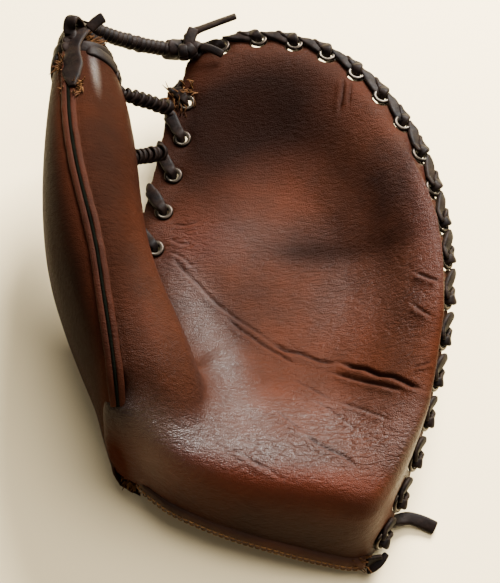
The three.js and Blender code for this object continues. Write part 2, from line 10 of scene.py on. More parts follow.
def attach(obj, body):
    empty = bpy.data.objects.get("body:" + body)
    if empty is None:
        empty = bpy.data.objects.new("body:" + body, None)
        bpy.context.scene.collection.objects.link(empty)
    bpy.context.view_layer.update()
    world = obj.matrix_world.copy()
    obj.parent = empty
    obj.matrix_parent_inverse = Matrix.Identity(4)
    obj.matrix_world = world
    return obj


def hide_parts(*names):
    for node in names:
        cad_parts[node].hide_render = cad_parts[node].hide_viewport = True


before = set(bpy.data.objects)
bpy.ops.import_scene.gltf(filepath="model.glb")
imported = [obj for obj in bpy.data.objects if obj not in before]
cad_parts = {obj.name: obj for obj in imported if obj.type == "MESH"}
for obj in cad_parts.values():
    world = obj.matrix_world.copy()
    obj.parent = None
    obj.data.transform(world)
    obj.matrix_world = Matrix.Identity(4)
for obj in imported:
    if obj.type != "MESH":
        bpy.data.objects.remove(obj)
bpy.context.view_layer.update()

MM = 0.001

# Camera at the photograph's angle: above the heel, looking towards the fingertips
CAMERA_TARGET = Vector((-1.2, -18.8, 45.0)) * MM
CAMERA_ELEVATION = 60.0
CAMERA_DISTANCE = 0.700
CAMERA_LENS = 86.45
CAMERA_SENSOR = 36.0

# Surfaces of the leather: grid of the hides, how far the frame's facets are smoothed, how sharp a turn is a
# rim, how far the region near a rim goes, and the most that a point may move there and elsewhere
HIDE_GRID = 1.25 * MM
SMOOTH_REACH = 9.0 * MM
CRISP_TURN = 0.16
RIM_NEAR = 8.0 * MM
RIM_MOVE = 0.6 * MM
MOST_MOVE = 2.2 * MM
# What a vertex passes on of its hold on a rim, from one ring of neighbours to the next
HOLD_FADE = 0.95
NEAR_FADE = 0.97
# Regions of the palm that are smoothed further. place, wide: centre and radius, millimetres.
# passes, quick: how often, on the full grid and on the quick one.
SOFTENED = [
    {"place": (-50, -102, 70), "wide": 30, "passes": 160, "quick": 60},
    {"place": (68, -116, 56), "wide": 36, "passes": 130, "quick": 50},
    {"place": (84, -66, 62), "wide": 26, "passes": 80, "quick": 30},
]
# Small wrinkles: height in millimetres, the line they are drawn out along, in degrees from the x axis, how
# many a metre along it, across it and upwards, and the share of the fine ones
WRINKLE_HIGH = 0.22
WRINKLE_TURN = 58
FINE_WRINKLES = Vector((90, 330, 200))
BROAD_WRINKLES = Vector((28, 70, 50))
FINE_SHARE = 0.55

# Creases of the palm. line: places in order, millimetres, in plan or, with a third column, in space.
# deep, wide: size of the groove. lip: height of the fold that stands beside it, on the heel's side.
CREASES = [
    {"deep": 0.6, "wide": 2.0, "lip": 0.3,
     "line": [(-43, 11), (-37, 3), (-27, -8), (-18, -19), (-6, -30), (2, -36), (11, -43)]},
    {"deep": 1.1, "wide": 2.2, "lip": 0.5,
     "line": [(9, -42), (16, -47), (24, -49), (33, -54), (43, -57)]},
    {"deep": 2.1, "wide": 2.4, "lip": 1.2,
     "line": [(42, -56), (48, -60), (54, -63), (60, -69), (66, -72), (74, -79), (80, -82)]},
    {"deep": 0.9, "wide": 1.8, "lip": 0.5,
     "line": [(37, -61), (46, -66), (55, -72), (63, -77), (72, -83)]},
    {"deep": 0.8, "wide": 1.9, "lip": 0.4,
     "line": [(-15, -25), (-6, -35), (4, -43), (14, -50), (21, -56)]},
    {"deep": 0.6, "wide": 1.6, "lip": 0.3, "line": [(11, -87), (17, -94), (24, -101)]},
    {"deep": 1.0, "wide": 2.2, "lip": 0.6,
     "line": [(24, -101), (29, -106), (35, -110), (42, -114), (48, -121)]},
    {"deep": 0.9, "wide": 1.8, "lip": 0.9, "line": [(80, -16), (86, -21), (91, -24)]},
    {"deep": 0.7, "wide": 1.6, "lip": 0.7, "line": [(78, -34), (82, -39), (86, -43)]},
    {"deep": 0.6, "wide": 1.6, "lip": 0.6, "line": [(75, -70), (80, -69), (85, -67)]},
    {"deep": 0.8, "wide": 1.8, "lip": 0.5, "line": [(49, 106), (48, 95), (46, 85)]},
    {"deep": 0.6, "wide": 1.6, "lip": 0.4, "line": [(53, 104), (52, 95), (51, 88)]},
    {"deep": 0.5, "wide": 1.6, "lip": 0.3, "line": [(28, -78), (36, -84), (43, -92), (49, -99)]},
    {"deep": 0.5, "wide": 1.6, "lip": 0.3, "line": [(40, -80), (49, -85), (58, -92), (64, -97)]},
    {"deep": 0.5, "wide": 1.6, "lip": 0.3, "line": [(20, -66), (29, -72), (38, -79)]},
    {"deep": 0.4, "wide": 1.5, "lip": 0.3, "line": [(-2, -118), (6, -121), (13, -126)]},
    {"deep": 0.4, "wide": 1.5, "lip": 0.3, "line": [(-10, -112), (-2, -116), (5, -121)]},
    {"deep": 0.5, "wide": 1.6, "lip": 0.3, "line": [(-44, 22), (-38, 18), (-32, 17)]},
    {"deep": 0.5, "wide": 1.6, "lip": 0.3, "line": [(-44, 14), (-37, 10), (-30, 3)]},
    {"deep": 0.5, "wide": 1.6, "lip": 0.3, "line": [(-42, 30), (-35, 29), (-28, 31)]},
    {"deep": 2.2, "wide": 3.2, "lip": 0,
     "line": [(-59, -109, 36), (-54, -112, 31), (-49, -115.6, 26), (-41, -120, 22)]},
    {"deep": 0.8, "wide": 2.2, "lip": 0, "line": [(-71, -95, 50), (-66, -101, 49), (-60, -106, 49)]},
]
CREASE_REACH = 5.0 * MM

# Raised folds. line: places in plan, millimetres. high, wide: size of the fold.
RIDGES = [
    {"high": 1.0, "wide": 4.0,
     "line": [(-20, -97), (-12, -91), (-3, -86), (8, -87), (13, -91), (20, -99), (23, -104)]},
    {"high": 0.8, "wide": 6.0, "line": [(-44, 8), (-44, -10), (-41, -30), (-36, -50)]},
]
# Shallow hollows. x, y: place in plan. wide: radius. deep: depth. All in millimetres.
DIMPLES = [
    {"x": -10, "y": -68, "wide": 12, "deep": 1.4},
    {"x": -28, "y": -86, "wide": 9, "deep": 1.0},
    {"x": 58, "y": 10, "wide": 13, "deep": 1.0},
    {"x": 30, "y": 18, "wide": 16, "deep": 0.8},
    {"x": 34, "y": -97, "wide": 10, "deep": 0.8},
    {"x": 6, "y": -50, "wide": 14, "deep": 1.2},
    {"x": 50, "y": -92, "wide": 12, "deep": 1.0},
    {"x": 76, "y": -50, "wide": 9, "deep": 0.8},
    {"x": 5, "y": 60, "wide": 15, "deep": 0.9},
]
# How much the thumb's face grows to meet the palm
FACE_SWELL = 0.5
# Leather drawn over the foot of the thumb's seam: places, millimetres, from the seam down to the heel's edge.
SEAM_FOOT = [(-60, -97, 84), (-62, -103, 76), (-62, -107, 62), (-60, -109, 44), (-58, -109, 24)]
SEAM_FOOT_WIDE = 22
SEAM_FOOT_THICK = 9
# Flap of the palm outside the eyelets that face the thumb, millimetres: how far off them, how wide, thick and
# low, and how far past the last ones it goes
FLAP_OUT = 6.4
FLAP_WIDE = 14.5
FLAP_THICK = 4.4
FLAP_DOWN = 2.4
FLAP_PAST = 9
# Hem of the wrist beside the foot: places along its middle, its height and its thickness, millimetres.
HEM = [(-65, -104, 19), (-59, -107, 18), (-51, -111, 18), (-43, -115, 19), (-36, -120, 22)]
HEM_HIGH = 21
HEM_THICK = 5
# Lower edge of the heel from the hem to the outer corner, millimetres.
HEEL_EDGE = [(-53, -116, 22), (-46, -121.5, 22), (-40, -126.5, 21.5), (-27, -132.5, 20.5), (-12.5, -138, 19),
             (0, -141.5, 17.5), (12.5, -144.5, 16), (25, -147, 13), (38, -149, 10.5), (46, -150, 8.5),
             (54, -149.5, 8.5)]
# Strip along that edge, millimetres: its height, how far its middle is above the edge and its face off it, and
# its thickness
BINDING_HIGH = 10.5
BINDING_UP = 3.6
BINDING_OUT = 1.5
BINDING_THICK = 10
# Stitches, millimetres: pitch, length and thickness. Points in a pitch, and heights of the rows on the strip.
STITCH_PITCH = 3.0
STITCH_LONG = 2.0
STITCH_THICK = 0.55
STITCH_STEPS = 6
STITCH_LIFTS = (1.6, 5.4)

# Laces, millimetres: width, thickness, how far their middles lie off the leather, how far they may be drawn
# there, the step along them, and how near to an eyelet they keep their own line
LACE_WIDE = 6.6
LACE_THICK = 2.8
LACE_CLEAR = 1.3
LACE_PULL = 3.2
LACE_STEP = 1.1
EYELET_HOLD = 3.6
# Bars of the web, millimetres: radius of the core, then radius, width and thickness of its winding. Steps in a
# turn, lean in degrees, and how far the top bar goes on past its ends in the frame.
BAR_CORE = 2.5
WIND_RADIUS = 2.95
WIND_WIDE = 4.5
WIND_THICK = 2.1
WIND_STEPS = 16
WIND_LEAN = 30
BAR_REACH = 9.0
# From one turn to the next on each bar, millimetres
WIND_PITCH = {"web_bar_1": 3.5, "web_bar_2": 4.6, "web_bar_3": 4.2}


# Meshes

def merged_copy(node, name):
    """A copy of a frame node's mesh with its doubles merged."""
    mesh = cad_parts[node].data.copy()
    mesh.name = name
    bm = bmesh.new()
    bm.from_mesh(mesh)
    bmesh.ops.remove_doubles(bm, verts=bm.verts, dist=0.005 * MM)
    bm.to_mesh(mesh)
    bm.free()
    mesh.materials.clear()
    return mesh


def new_piece(name, mesh):
    piece = bpy.data.objects.new(name, mesh)
    bpy.context.scene.collection.objects.link(piece)
    return piece


def remeshed(piece):
    """The piece's shape on an even grid of faces."""
    step = piece.modifiers.new("grid", "REMESH")
    step.mode = "VOXEL"
    step.voxel_size = HIDE_GRID
    graph = bpy.context.evaluated_depsgraph_get()
    made = bpy.data.meshes.new_from_object(piece.evaluated_get(graph))
    piece.modifiers.clear()
    piece.data = made
    return piece


def read(items, name, columns, kind=float):
    """A property of all the vertices or edges of a mesh, as rows of numbers."""
    flat = np.empty(len(items) * columns, dtype=kind)
    items.foreach_get(name, flat)
    return flat.reshape(-1, columns)


def points_of(mesh):
    return read(mesh.vertices, "co", 3)


def normals_of(mesh):
    return read(mesh.vertices, "normal", 3)


def edges_of(mesh):
    return read(mesh.edges, "vertices", 2, np.int64)


def put_points(mesh, points):
    mesh.vertices.foreach_set("co", points.ravel())
    mesh.update()


def neighbour_mean(values, edges):
    """The mean of each vertex's neighbours, column by column."""
    count = np.bincount(edges.ravel(), minlength=len(values))
    columns = []
    for column in values.T:
        total = np.bincount(edges[:, 0], weights=column[edges[:, 1]], minlength=len(values))
        total += np.bincount(edges[:, 1], weights=column[edges[:, 0]], minlength=len(values))
        columns.append(total / np.maximum(count, 1))
    return np.stack(columns, axis=1)


def steady(points, edges, passes):
    """Takes the steps of the grid out of a surface and leaves its volume as it is."""
    for _ in range(passes):
        for weight in (0.5, -0.52):
            points = points + weight * (neighbour_mean(points, edges) - points)
    return points


def relaxed(points, edges, free, passes):
    """Points drawn towards the middle of their neighbours. free: how freely each of them moves, 0 to 1."""
    for _ in range(passes):
        points = points + 0.5 * free * (neighbour_mean(points, edges) - points)
    return points


def smooth_facets(piece):
    """Rounds off the facets of the frame, and leaves the thin rims as they are."""
    mesh = piece.data
    edges = edges_of(mesh)
    first = steady(points_of(mesh), edges, 12)
    turn = np.linalg.norm(neighbour_mean(first, edges) - first, axis=1) / HIDE_GRID
    hold = np.clip((turn - CRISP_TURN) / CRISP_TURN, 0, 1)[:, None]
    for _ in range(4):
        hold = np.maximum(hold * HOLD_FADE, neighbour_mean(hold, edges))
    free = 1 - np.clip(hold, 0, 1)
    near = hold
    for _ in range(int(RIM_NEAR / HIDE_GRID)):
        near = np.maximum(near * NEAR_FADE, neighbour_mean(near, edges))
    allowed = MOST_MOVE + (RIM_MOVE - MOST_MOVE) * np.clip(near * 2, 0, 1)
    moved = relaxed(first, edges, free, int((SMOOTH_REACH / HIDE_GRID) ** 2 * 2)) - first
    far = np.linalg.norm(moved, axis=1)[:, None]
    points = first + moved * np.minimum(1, allowed / np.maximum(far, 1e-9))
    put_points(mesh, steady(points, edges, 6))


def soften(piece, place, wide, passes):
    """Smooths a region of a piece. place, wide: its centre and radius, millimetres."""
    mesh = piece.data
    points = points_of(mesh)
    far = np.linalg.norm(points / MM - np.array(place), axis=1)
    free = np.clip(2 - 2 * far / wide, 0, 1)[:, None]
    put_points(mesh, relaxed(points, edges_of(mesh), free, passes))


def refine(piece, rows, reach):
    """Splits the faces that lie near the creases, so that these come out sharp."""
    mesh = piece.data
    points = points_of(mesh)
    upward = normals_of(mesh)[:, 2] > 0.1
    chosen = np.zeros(len(points), bool)
    for row in rows:
        close = near_line(points, row["line"])[0] < reach
        chosen |= close & (upward | (len(row["line"][0]) == 3))
    bm = bmesh.new()
    bm.from_mesh(mesh)
    bm.verts.ensure_lookup_table()
    edges = [edge for edge in bm.edges if chosen[edge.verts[0].index] and chosen[edge.verts[1].index]]
    bmesh.ops.subdivide_edges(bm, edges=edges, cuts=1, use_grid_fill=True)
    bm.to_mesh(mesh)
    bm.free()


def near_line(points, line):
    """Distance from each point to a line, the side of it seen from above, and the share of the way along it.
    The distance is in plan where the line has two columns, and in space where it has three."""
    line = np.array(line, float) * MM
    points = points[:, :line.shape[1]]
    best = np.full(len(points), 1e9)
    side = np.zeros(len(points))
    along = np.zeros(len(points))
    for k in range(len(line) - 1):
        start = line[k]
        run = line[k + 1] - start
        share = np.clip(((points - start) @ run) / (run @ run), 0, 1)
        away = points - start - share[:, None] * run
        far = np.linalg.norm(away, axis=1)
        closer = far < best
        best = np.where(closer, far, best)
        cross = run[0] * away[:, 1] - run[1] * away[:, 0]
        side = np.where(closer, np.sign(cross), side)
        along = np.where(closer, (k + share) / (len(line) - 1), along)
    return best, side, along


def crease(piece, creases):
    """Cuts the grooves of the creases and lifts a fold beside each. Gives each vertex's depth in a groove."""
    mesh = piece.data
    points = points_of(mesh)
    normals = normals_of(mesh)
    upward = np.clip(normals[:, 2] * 2, 0, 1)
    crease_shade = np.zeros(len(points))
    move = np.zeros(len(points))
    for row in creases:
        far, side, along = near_line(points, row["line"])
        shown = upward if len(row["line"][0]) == 2 else 1
        ends = np.clip(np.minimum(along, 1 - along) * 6, 0.15, 1)
        wide = row["wide"] * MM
        groove = np.exp(-((far / (wide * 0.5)) ** 2))
        fold = np.exp(-(((far - wide * 1.1) / wide) ** 2)) * (side < 0)
        move += (row["lip"] * fold - row["deep"] * groove) * MM * ends * shown
        # The depth in a groove is also kept as painted shade for the creases
        crease_shade = np.maximum(crease_shade, groove * ends * shown * min(1, row["deep"] / 1.5))
    put_points(mesh, points + normals * move[:, None])
    return crease_shade


def raise_folds(piece, ridges, dimples):
    """Lifts the soft folds and presses in the hollows of the leather."""
    mesh = piece.data
    points = points_of(mesh)
    normals = normals_of(mesh)
    move = np.zeros(len(points))
    for row in ridges:
        far, _, along = near_line(points, row["line"])
        ends = np.clip(np.minimum(along, 1 - along) * 5, 0, 1)
        move += row["high"] * np.exp(-((far / (row["wide"] * MM)) ** 2)) * ends
    for row in dimples:
        far = np.hypot(points[:, 0] / MM - row["x"], points[:, 1] / MM - row["y"])
        move -= row["deep"] * np.exp(-((far / row["wide"]) ** 2))
    shown = np.clip(normals[:, 2] * 2, 0, 1)
    put_points(mesh, points + normals * (move * shown * MM)[:, None])


def wrinkle(piece):
    """Small soft wrinkles in the leather, drawn out along one line."""
    mesh = piece.data
    points = points_of(mesh)
    normals = normals_of(mesh)
    turn = Matrix.Rotation(math.radians(-WRINKLE_TURN), 3, "Z")
    lift = np.empty(len(points))
    for i, place in enumerate(points):
        turned = turn @ Vector(place)
        lift[i] = FINE_SHARE * noise.noise(turned * FINE_WRINKLES) + noise.noise(turned * BROAD_WRINKLES)
    put_points(mesh, points + normals * (lift * WRINKLE_HIGH * MM)[:, None])


def store(mesh, name, values):
    layer = mesh.attributes.new(name, "FLOAT", "POINT")
    layer.data.foreach_set("value", np.asarray(values, dtype=np.float32))


# Materials

def material(name):
    made = bpy.data.materials.new(name)
    made.use_nodes = True
    made.node_tree.nodes.clear()
    shader = made.node_tree.nodes.new("ShaderNodeBsdfPrincipled")
    output = made.node_tree.nodes.new("ShaderNodeOutputMaterial")
    made.node_tree.links.new(shader.outputs["BSDF"], output.inputs["Surface"])
    return made, made.node_tree, shader


def node(tree, kind, settings=None, **inputs):
    made = tree.nodes.new("ShaderNode" + kind)
    for key, value in (settings or {}).items():
        setattr(made, key, value)
    for key, value in inputs.items():
        put(tree, made, key.replace("_", " "), value)
    return made


def put(tree, made, key, value):
    """Sets an input of a node, or links it where the value is another node's output."""
    if isinstance(value, bpy.types.NodeSocket):
        tree.links.new(value, made.inputs[key])
    else:
        made.inputs[key].default_value = value


def colour(red, green, blue):
    """A colour given as it looks on a screen, 0 to 255."""
    def linear(value):
        share = value / 255
        return share / 12.92 if share <= 0.04045 else ((share + 0.055) / 1.055) ** 2.4
    return (linear(red), linear(green), linear(blue), 1.0)


def blend_colours(tree, share, low, high, mode="MIX"):
    made = tree.nodes.new("ShaderNodeMix")
    made.data_type = "RGBA"
    made.blend_type = mode
    put(tree, made, 0, share)
    put(tree, made, 6, low)
    put(tree, made, 7, high)
    return made.outputs[2]


def ramp(tree, value, stops):
    made = tree.nodes.new("ShaderNodeValToRGB")
    band = made.color_ramp
    while len(band.elements) < len(stops):
        band.elements.new(0.5)
    for element, (place, shade) in zip(band.elements, stops):
        element.position = place
        element.color = shade if isinstance(shade, tuple) else (shade, shade, shade, 1)
    tree.links.new(value, made.inputs["Fac"])
    return made.outputs["Color"]


def placed(tree, scale, turn=0.0):
    """Object coordinates, stretched and turned in plan."""
    where = node(tree, "TexCoord").outputs["Object"]
    angles = (0, 0, math.radians(turn))
    made = node(tree, "Mapping", {"vector_type": "POINT"}, Vector=where, Rotation=angles, Scale=scale)
    return made.outputs["Vector"]


def noise_at(tree, vector, scale, detail=4.0, rough=0.55):
    made = node(tree, "TexNoise", None, Vector=vector, Scale=scale, Detail=detail, Roughness=rough)
    return made.outputs["Fac"]


def attribute(tree, name):
    return node(tree, "Attribute", {"attribute_name": name}).outputs["Fac"]


def sums(tree, operation, *values):
    made = node(tree, "Math", {"operation": operation})
    for key, value in enumerate(values):
        put(tree, made, key, value)
    return made.outputs[0]


def scaled(tree, value, factor, offset=0.0):
    return sums(tree, "MULTIPLY_ADD", value, factor, offset)


def added(tree, a, b):
    return sums(tree, "ADD", a, b)


def bumped(tree, shader, strength, distance, height):
    """Gives a shader the small relief of a height."""
    bump = node(tree, "Bump", None, Strength=strength, Distance=distance, Height=height)
    tree.links.new(bump.outputs["Normal"], shader.inputs["Normal"])


# How much shine the rubbed parts of the palm have over the rest
POLISH = 0.34


def leather(name, light, middle, dark, rough, grain, shine, marks=False):
    """Old oiled leather: blotches of colour, fine grain, creased wrinkles and a worn shine."""
    light, middle, dark = (colour(*shade) for shade in (light, middle, dark))
    made, tree, shader = material(name)
    even = placed(tree, (1, 1, 1))
    along = placed(tree, (1.0, 2.6, 1.6), -58)
    blotches = noise_at(tree, even, 16, 5, 0.6)
    mottle = noise_at(tree, even, 90, 4, 0.6)
    base = ramp(tree, blotches, [(0.30, dark), (0.50, middle), (0.72, light)])
    base = blend_colours(tree, scaled(tree, mottle, 0.5, -0.05), base, middle)
    lines = noise_at(tree, along, 260, 4, 0.6)
    grain_cells = node(tree, "TexVoronoi", {"feature": "DISTANCE_TO_EDGE"}, Vector=even, Scale=1100.0)
    cells = ramp(tree, grain_cells.outputs["Distance"], [(0.0, 0.0), (0.25, 1.0)])
    shader.inputs["Specular IOR Level"].default_value = shine
    if marks:
        # Painted shade: the shade mark mixes in a near-black brown
        base = blend_colours(tree, attribute(tree, "shade"), base, colour(15, 7, 5))
        # Painted light: a lighter orange where that mark lies
        base = blend_colours(tree, attribute(tree, "painted_light"), base, colour(72, 28, 12))
        # Painted shade in the creases: darker the deeper a point lies in a groove
        base = blend_colours(tree, scaled(tree, attribute(tree, "groove"), 0.8), base, colour(8, 5, 5))
        worn = scaled(tree, attribute(tree, "polish"), POLISH, shine)
        tree.links.new(worn, shader.inputs["Specular IOR Level"])
    shader.inputs["Base Color"].default_value = middle
    tree.links.new(base, shader.inputs["Base Color"])
    dull = added(tree, scaled(tree, blotches, 0.22, rough - 0.11), scaled(tree, lines, 0.16, -0.08))
    tree.links.new(dull, shader.inputs["Roughness"])
    folds = noise_at(tree, along, 105, 3, 0.5)
    lined = ramp(tree, folds, [(0.40, 1.0), (0.47, 0.35), (0.50, 0.0), (0.53, 0.35), (0.60, 1.0)])
    wrinkled = sums(tree, "MULTIPLY", lined, attribute(tree, "crinkle"))
    height = added(tree, scaled(tree, lines, 1.0), scaled(tree, cells, 0.22))
    bumped(tree, shader, grain, 0.0009, added(tree, height, scaled(tree, wrinkled, 0.9)))
    return made


def rawhide(name, light, dark, rough):
    """Dried lace: dark, with lighter rubbed ridges."""
    light, dark = (colour(*shade) for shade in (light, dark))
    made, tree, shader = material(name)
    even = placed(tree, (1, 1, 1))
    blotches = noise_at(tree, even, 140, 5, 0.65)
    fine = noise_at(tree, even, 700, 4, 0.6)
    base = ramp(tree, blotches, [(0.36, dark), (0.66, light)])
    rubbed = added(tree, attribute(tree, "rim"), scaled(tree, fine, 0.5, -0.25))
    worn = ramp(tree, rubbed, [(0.90, 0.0), (1.1, 0.8)])
    base = blend_colours(tree, worn, base, colour(36, 26, 20))
    tree.links.new(base, shader.inputs["Base Color"])
    tree.links.new(scaled(tree, fine, 0.3, rough - 0.15), shader.inputs["Roughness"])
    shader.inputs["Specular IOR Level"].default_value = 0.05
    bumped(tree, shader, 0.5, 0.0008, added(tree, scaled(tree, blotches, 0.7), scaled(tree, fine, 0.4)))
    return made


def worn_metal_with_painted_highlight(name):
    made, tree, shader = material(name)
    even = placed(tree, (1, 1, 1))
    spots = noise_at(tree, even, 420, 4, 0.65)
    base = ramp(tree, spots, [(0.35, colour(20, 14, 11)), (0.65, colour(46, 38, 30))])
    # Painted highlight: a pale colour on the ring's inner lip
    base = blend_colours(tree, attribute(tree, "painted_highlight"), base, colour(190, 178, 158))
    tree.links.new(base, shader.inputs["Base Color"])
    shader.inputs["Metallic"].default_value = 0.9
    tree.links.new(scaled(tree, spots, -0.35, 0.5), shader.inputs["Roughness"])
    bumped(tree, shader, 0.25, 0.0003, spots)
    return made


PALM_LEATHER = leather("palm_leather", (66, 31, 17), (48, 24, 14), (25, 14, 11), 0.42, 0.7, 0.03, marks=True)
BACK_LEATHER = leather("back_leather", (46, 20, 12), (29, 15, 11), (15, 9, 8), 0.6, 0.6, 0.05)
BINDING_LEATHER = leather("binding_leather", (62, 34, 21), (46, 27, 17), (28, 17, 12), 0.55, 0.5, 0.08)
SEAM_LEATHER = leather("seam_leather", (54, 23, 11), (40, 18, 10), (24, 12, 8), 0.55, 0.6, 0.02)
WELT_LEATHER = leather("welt_leather", (14, 15, 10), (9, 10, 7), (5, 5, 4), 0.8, 0.6, 0.0)
LACE = rawhide("lace", (24, 15, 11), (9, 6, 6), 0.55)
FRAY = rawhide("frayed_leather", (92, 62, 34), (44, 24, 13), 0.8)
METAL = worn_metal_with_painted_highlight("eyelet_metal")
THREAD = rawhide("thread", (128, 92, 56), (84, 56, 34), 0.8)


def finish_piece(piece, finish, slot, *nodes):
    piece.data.materials.clear()
    piece.data.materials.append(finish)
    piece.data.polygons.foreach_set("use_smooth", [True] * len(piece.data.polygons))
    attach(piece, "root")
    if nodes:
        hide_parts(*nodes)
    return piece


# Palm

def spots(points, rows):
    """The sum of soft round marks at each point."""
    total = np.zeros(len(points))
    for x, y, wide, tall, turn, amount in rows:
        across = points[:, 0] / MM - x
        up = points[:, 1] / MM - y
        c = math.cos(math.radians(turn))
        s = math.sin(math.radians(turn))
        u = (c * across + s * up) / wide
        v = (c * up - s * across) / tall
        total += amount * np.exp(-(u * u + v * v))
    return total


def tree_of(*meshes):
    """A search tree over the surfaces of some meshes."""
    places = []
    faces = []
    for mesh in meshes:
        first = len(places)
        places.extend(v.co.copy() for v in mesh.vertices)
        faces.extend([first + i for i in face.vertices] for face in mesh.polygons)
    return BVHTree.FromPolygons(places, faces)


EYELETS = sorted(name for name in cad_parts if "eyelet" in name)


def cap_of(bm, sides):
    """The corners of the lowest end of a tube. An end is a flat face that only one more ring touches."""
    found = []
    for face in bm.faces:
        corners = set(face.verts)
        seen = {face}
        waiting = [face]
        while waiting and len(corners) <= sides:
            for edge in waiting.pop().edges:
                for other in edge.link_faces:
                    if other not in seen and other.normal.angle(face.normal, 9) < 0.003:
                        seen.add(other)
                        waiting.append(other)
                        corners.update(other.verts)
        around = {edge.other_vert(v) for v in corners for edge in v.link_edges} - corners
        if len(corners) == sides and len(around) == sides:
            found.append((min(v.co.z for v in corners), len(found), corners))
    return min(found)[2]


def tube_line(node_name, sides):
    """The middle line of a frame node that is a tube."""
    bm = bmesh.new()
    bm.from_mesh(merged_copy(node_name, node_name + "_line"))
    bm.normal_update()
    ring = cap_of(bm, sides)
    done = set(ring)
    middles = []
    while ring:
        middles.append(sum((v.co for v in ring), Vector()) / len(ring))
        ring = {edge.other_vert(v) for v in ring for edge in v.link_edges} - done
        done |= ring
    bm.free()
    return np.array(middles)


def smooth_line(line, step):
    """A line of points rounded off and spaced evenly."""
    for _ in range(2):
        near = line[:-1] * 0.75 + line[1:] * 0.25
        far = line[:-1] * 0.25 + line[1:] * 0.75
        line = np.vstack([line[:1], np.stack([near, far], axis=1).reshape(-1, 3), line[-1:]])
    run = np.concatenate([[0], np.cumsum(np.linalg.norm(np.diff(line, axis=0), axis=1))])
    at = np.linspace(0, run[-1], max(3, int(round(run[-1] / step)) + 1))
    return np.stack([np.interp(at, run, line[:, k]) for k in range(3)], axis=1)


def longer(line, reach):
    """The line with both ends carried on straight."""
    first = line[0] + (line[0] - line[1]) / np.linalg.norm(line[0] - line[1]) * reach
    last = line[-1] + (line[-1] - line[-2]) / np.linalg.norm(line[-1] - line[-2]) * reach
    return np.vstack([first, line, last])


def spread(values, count):
    """Rows of values, carried over to another number of even places."""
    at = np.linspace(0, 1, count)
    own = np.linspace(0, 1, len(values))
    return np.stack([np.interp(at, own, column) for column in np.transpose(values)], axis=1)


def averaged(values, passes):
    for _ in range(passes):
        inner = (values[:-2] + 2 * values[1:-1] + values[2:]) / 4
        values = np.vstack([values[:1], inner, values[-1:]])
    return values


def lay(line, tree, clear, hold):
    """Brings a line to its distance off what it lies on, and gives the direction off that at each point."""
    found = [tree.find_nearest(Vector(p)) for p in line]
    spot = np.array([f[0] for f in found])
    away = line - spot
    far = np.linalg.norm(away, axis=1)[:, None]
    away = away / np.maximum(far, 1e-9)
    pull = np.clip(far - clear * MM, -2 * MM, LACE_PULL * MM) * hold[:, None] * (far < 9 * MM)
    return averaged(line - away * averaged(pull, 3), 1), averaged(away, 3)


def sweep(bm, line, away, wide, thick, corners=12, square=0.6):
    """A band along a line, with its flat side turned away from what it lies on. wide, thick: millimetres.
    corners, square: the corners of its section, and how round they are, 1 for a circle."""
    rim = bm.verts.layers.float.get("rim") or bm.verts.layers.float.new("rim")
    run = np.gradient(line, axis=0)
    away = np.broadcast_to(away, line.shape)
    wide = np.broadcast_to(wide, len(line))
    thick = np.broadcast_to(thick, len(line))
    places = []
    for k, place in enumerate(line):
        forward = Vector(run[k]).normalized()
        side = forward.cross(Vector(away[k])).normalized()
        up = side.cross(forward)
        columns = (side * wide[k] * MM / 2, up * thick[k] * MM / 2, forward * MM)
        turn = Matrix(columns).transposed().to_4x4()
        places.append(Matrix.Translation(place) @ turn)
    made = bmesh.ops.create_circle(bm, cap_ends=True, segments=corners, radius=1)
    verts = made["verts"]
    for v in verts:
        v[rim] = abs(v.co.x)
        v.co.x = math.copysign(abs(v.co.x) ** square, v.co.x)
        v.co.y = math.copysign(abs(v.co.y) ** square, v.co.y)
    ring = list({edge for v in verts for edge in v.link_edges})
    bmesh.ops.transform(bm, matrix=places[0], verts=verts)
    for before, after in zip(places, places[1:]):
        made = bmesh.ops.extrude_edge_only(bm, edges=ring)["geom"]
        verts = [item for item in made if isinstance(item, bmesh.types.BMVert)]
        fresh = set(verts)
        edges = [item for item in made if isinstance(item, bmesh.types.BMEdge)]
        ring = [edge for edge in edges if fresh.issuperset(edge.verts)]
        bmesh.ops.transform(bm, matrix=after @ before.inverted(), verts=verts)
    bmesh.ops.contextual_create(bm, geom=ring)


def round_off(piece, levels):
    step = piece.modifiers.new("round", "SUBSURF")
    step.levels = levels
    step.render_levels = levels
    return piece


def piece_of(bm, name, levels):
    bmesh.ops.recalc_face_normals(bm, faces=bm.faces)
    mesh = bpy.data.meshes.new(name)
    bm.to_mesh(mesh)
    bm.free()
    piece = new_piece(name, mesh)
    return round_off(piece, levels) if levels else piece


# Hides

def axis_of(node_name):
    """The middle of an eyelet at the face of the leather, and the direction out of it."""
    places = np.array([v.co for v in merged_copy(node_name, node_name + "_axis").vertices])
    middle = places.mean(axis=0)
    _, directions = np.linalg.eigh(np.cov((places - middle).T))
    axis = directions[:, -1]
    height = (places - middle) @ axis
    out = np.linalg.norm(places - middle - height[:, None] * axis, axis=1)
    flange = out > out.max() * 0.95
    axis = axis * np.sign(height[flange].mean())
    level = abs(height[flange].mean())
    return middle + axis * (level - 0.35 * MM), axis


def with_foot(name):
    """The palm of the frame with leather drawn over the foot of the thumb's seam."""
    bm = bmesh.new()
    bm.from_mesh(merged_copy("thumb_face", name))
    bm.normal_update()
    for v in bm.verts:
        v.co += v.normal * FACE_SWELL * MM
    bm.from_mesh(merged_copy("palm", name))
    line = smooth_line(np.array(SEAM_FOOT) * MM, 3 * MM)
    sweep(bm, line, (-0.5, -0.85, 0.25), SEAM_FOOT_WIDE, SEAM_FOOT_THICK)
    sweep(bm, smooth_line(np.array(HEM) * MM, 3 * MM), (-0.4, -0.9, 0.1), HEM_HIGH, HEM_THICK)
    line, away = web_edge()
    sweep(bm, line, away, FLAP_WIDE, FLAP_THICK, square=0.8)
    return piece_of(bm, name, 0)


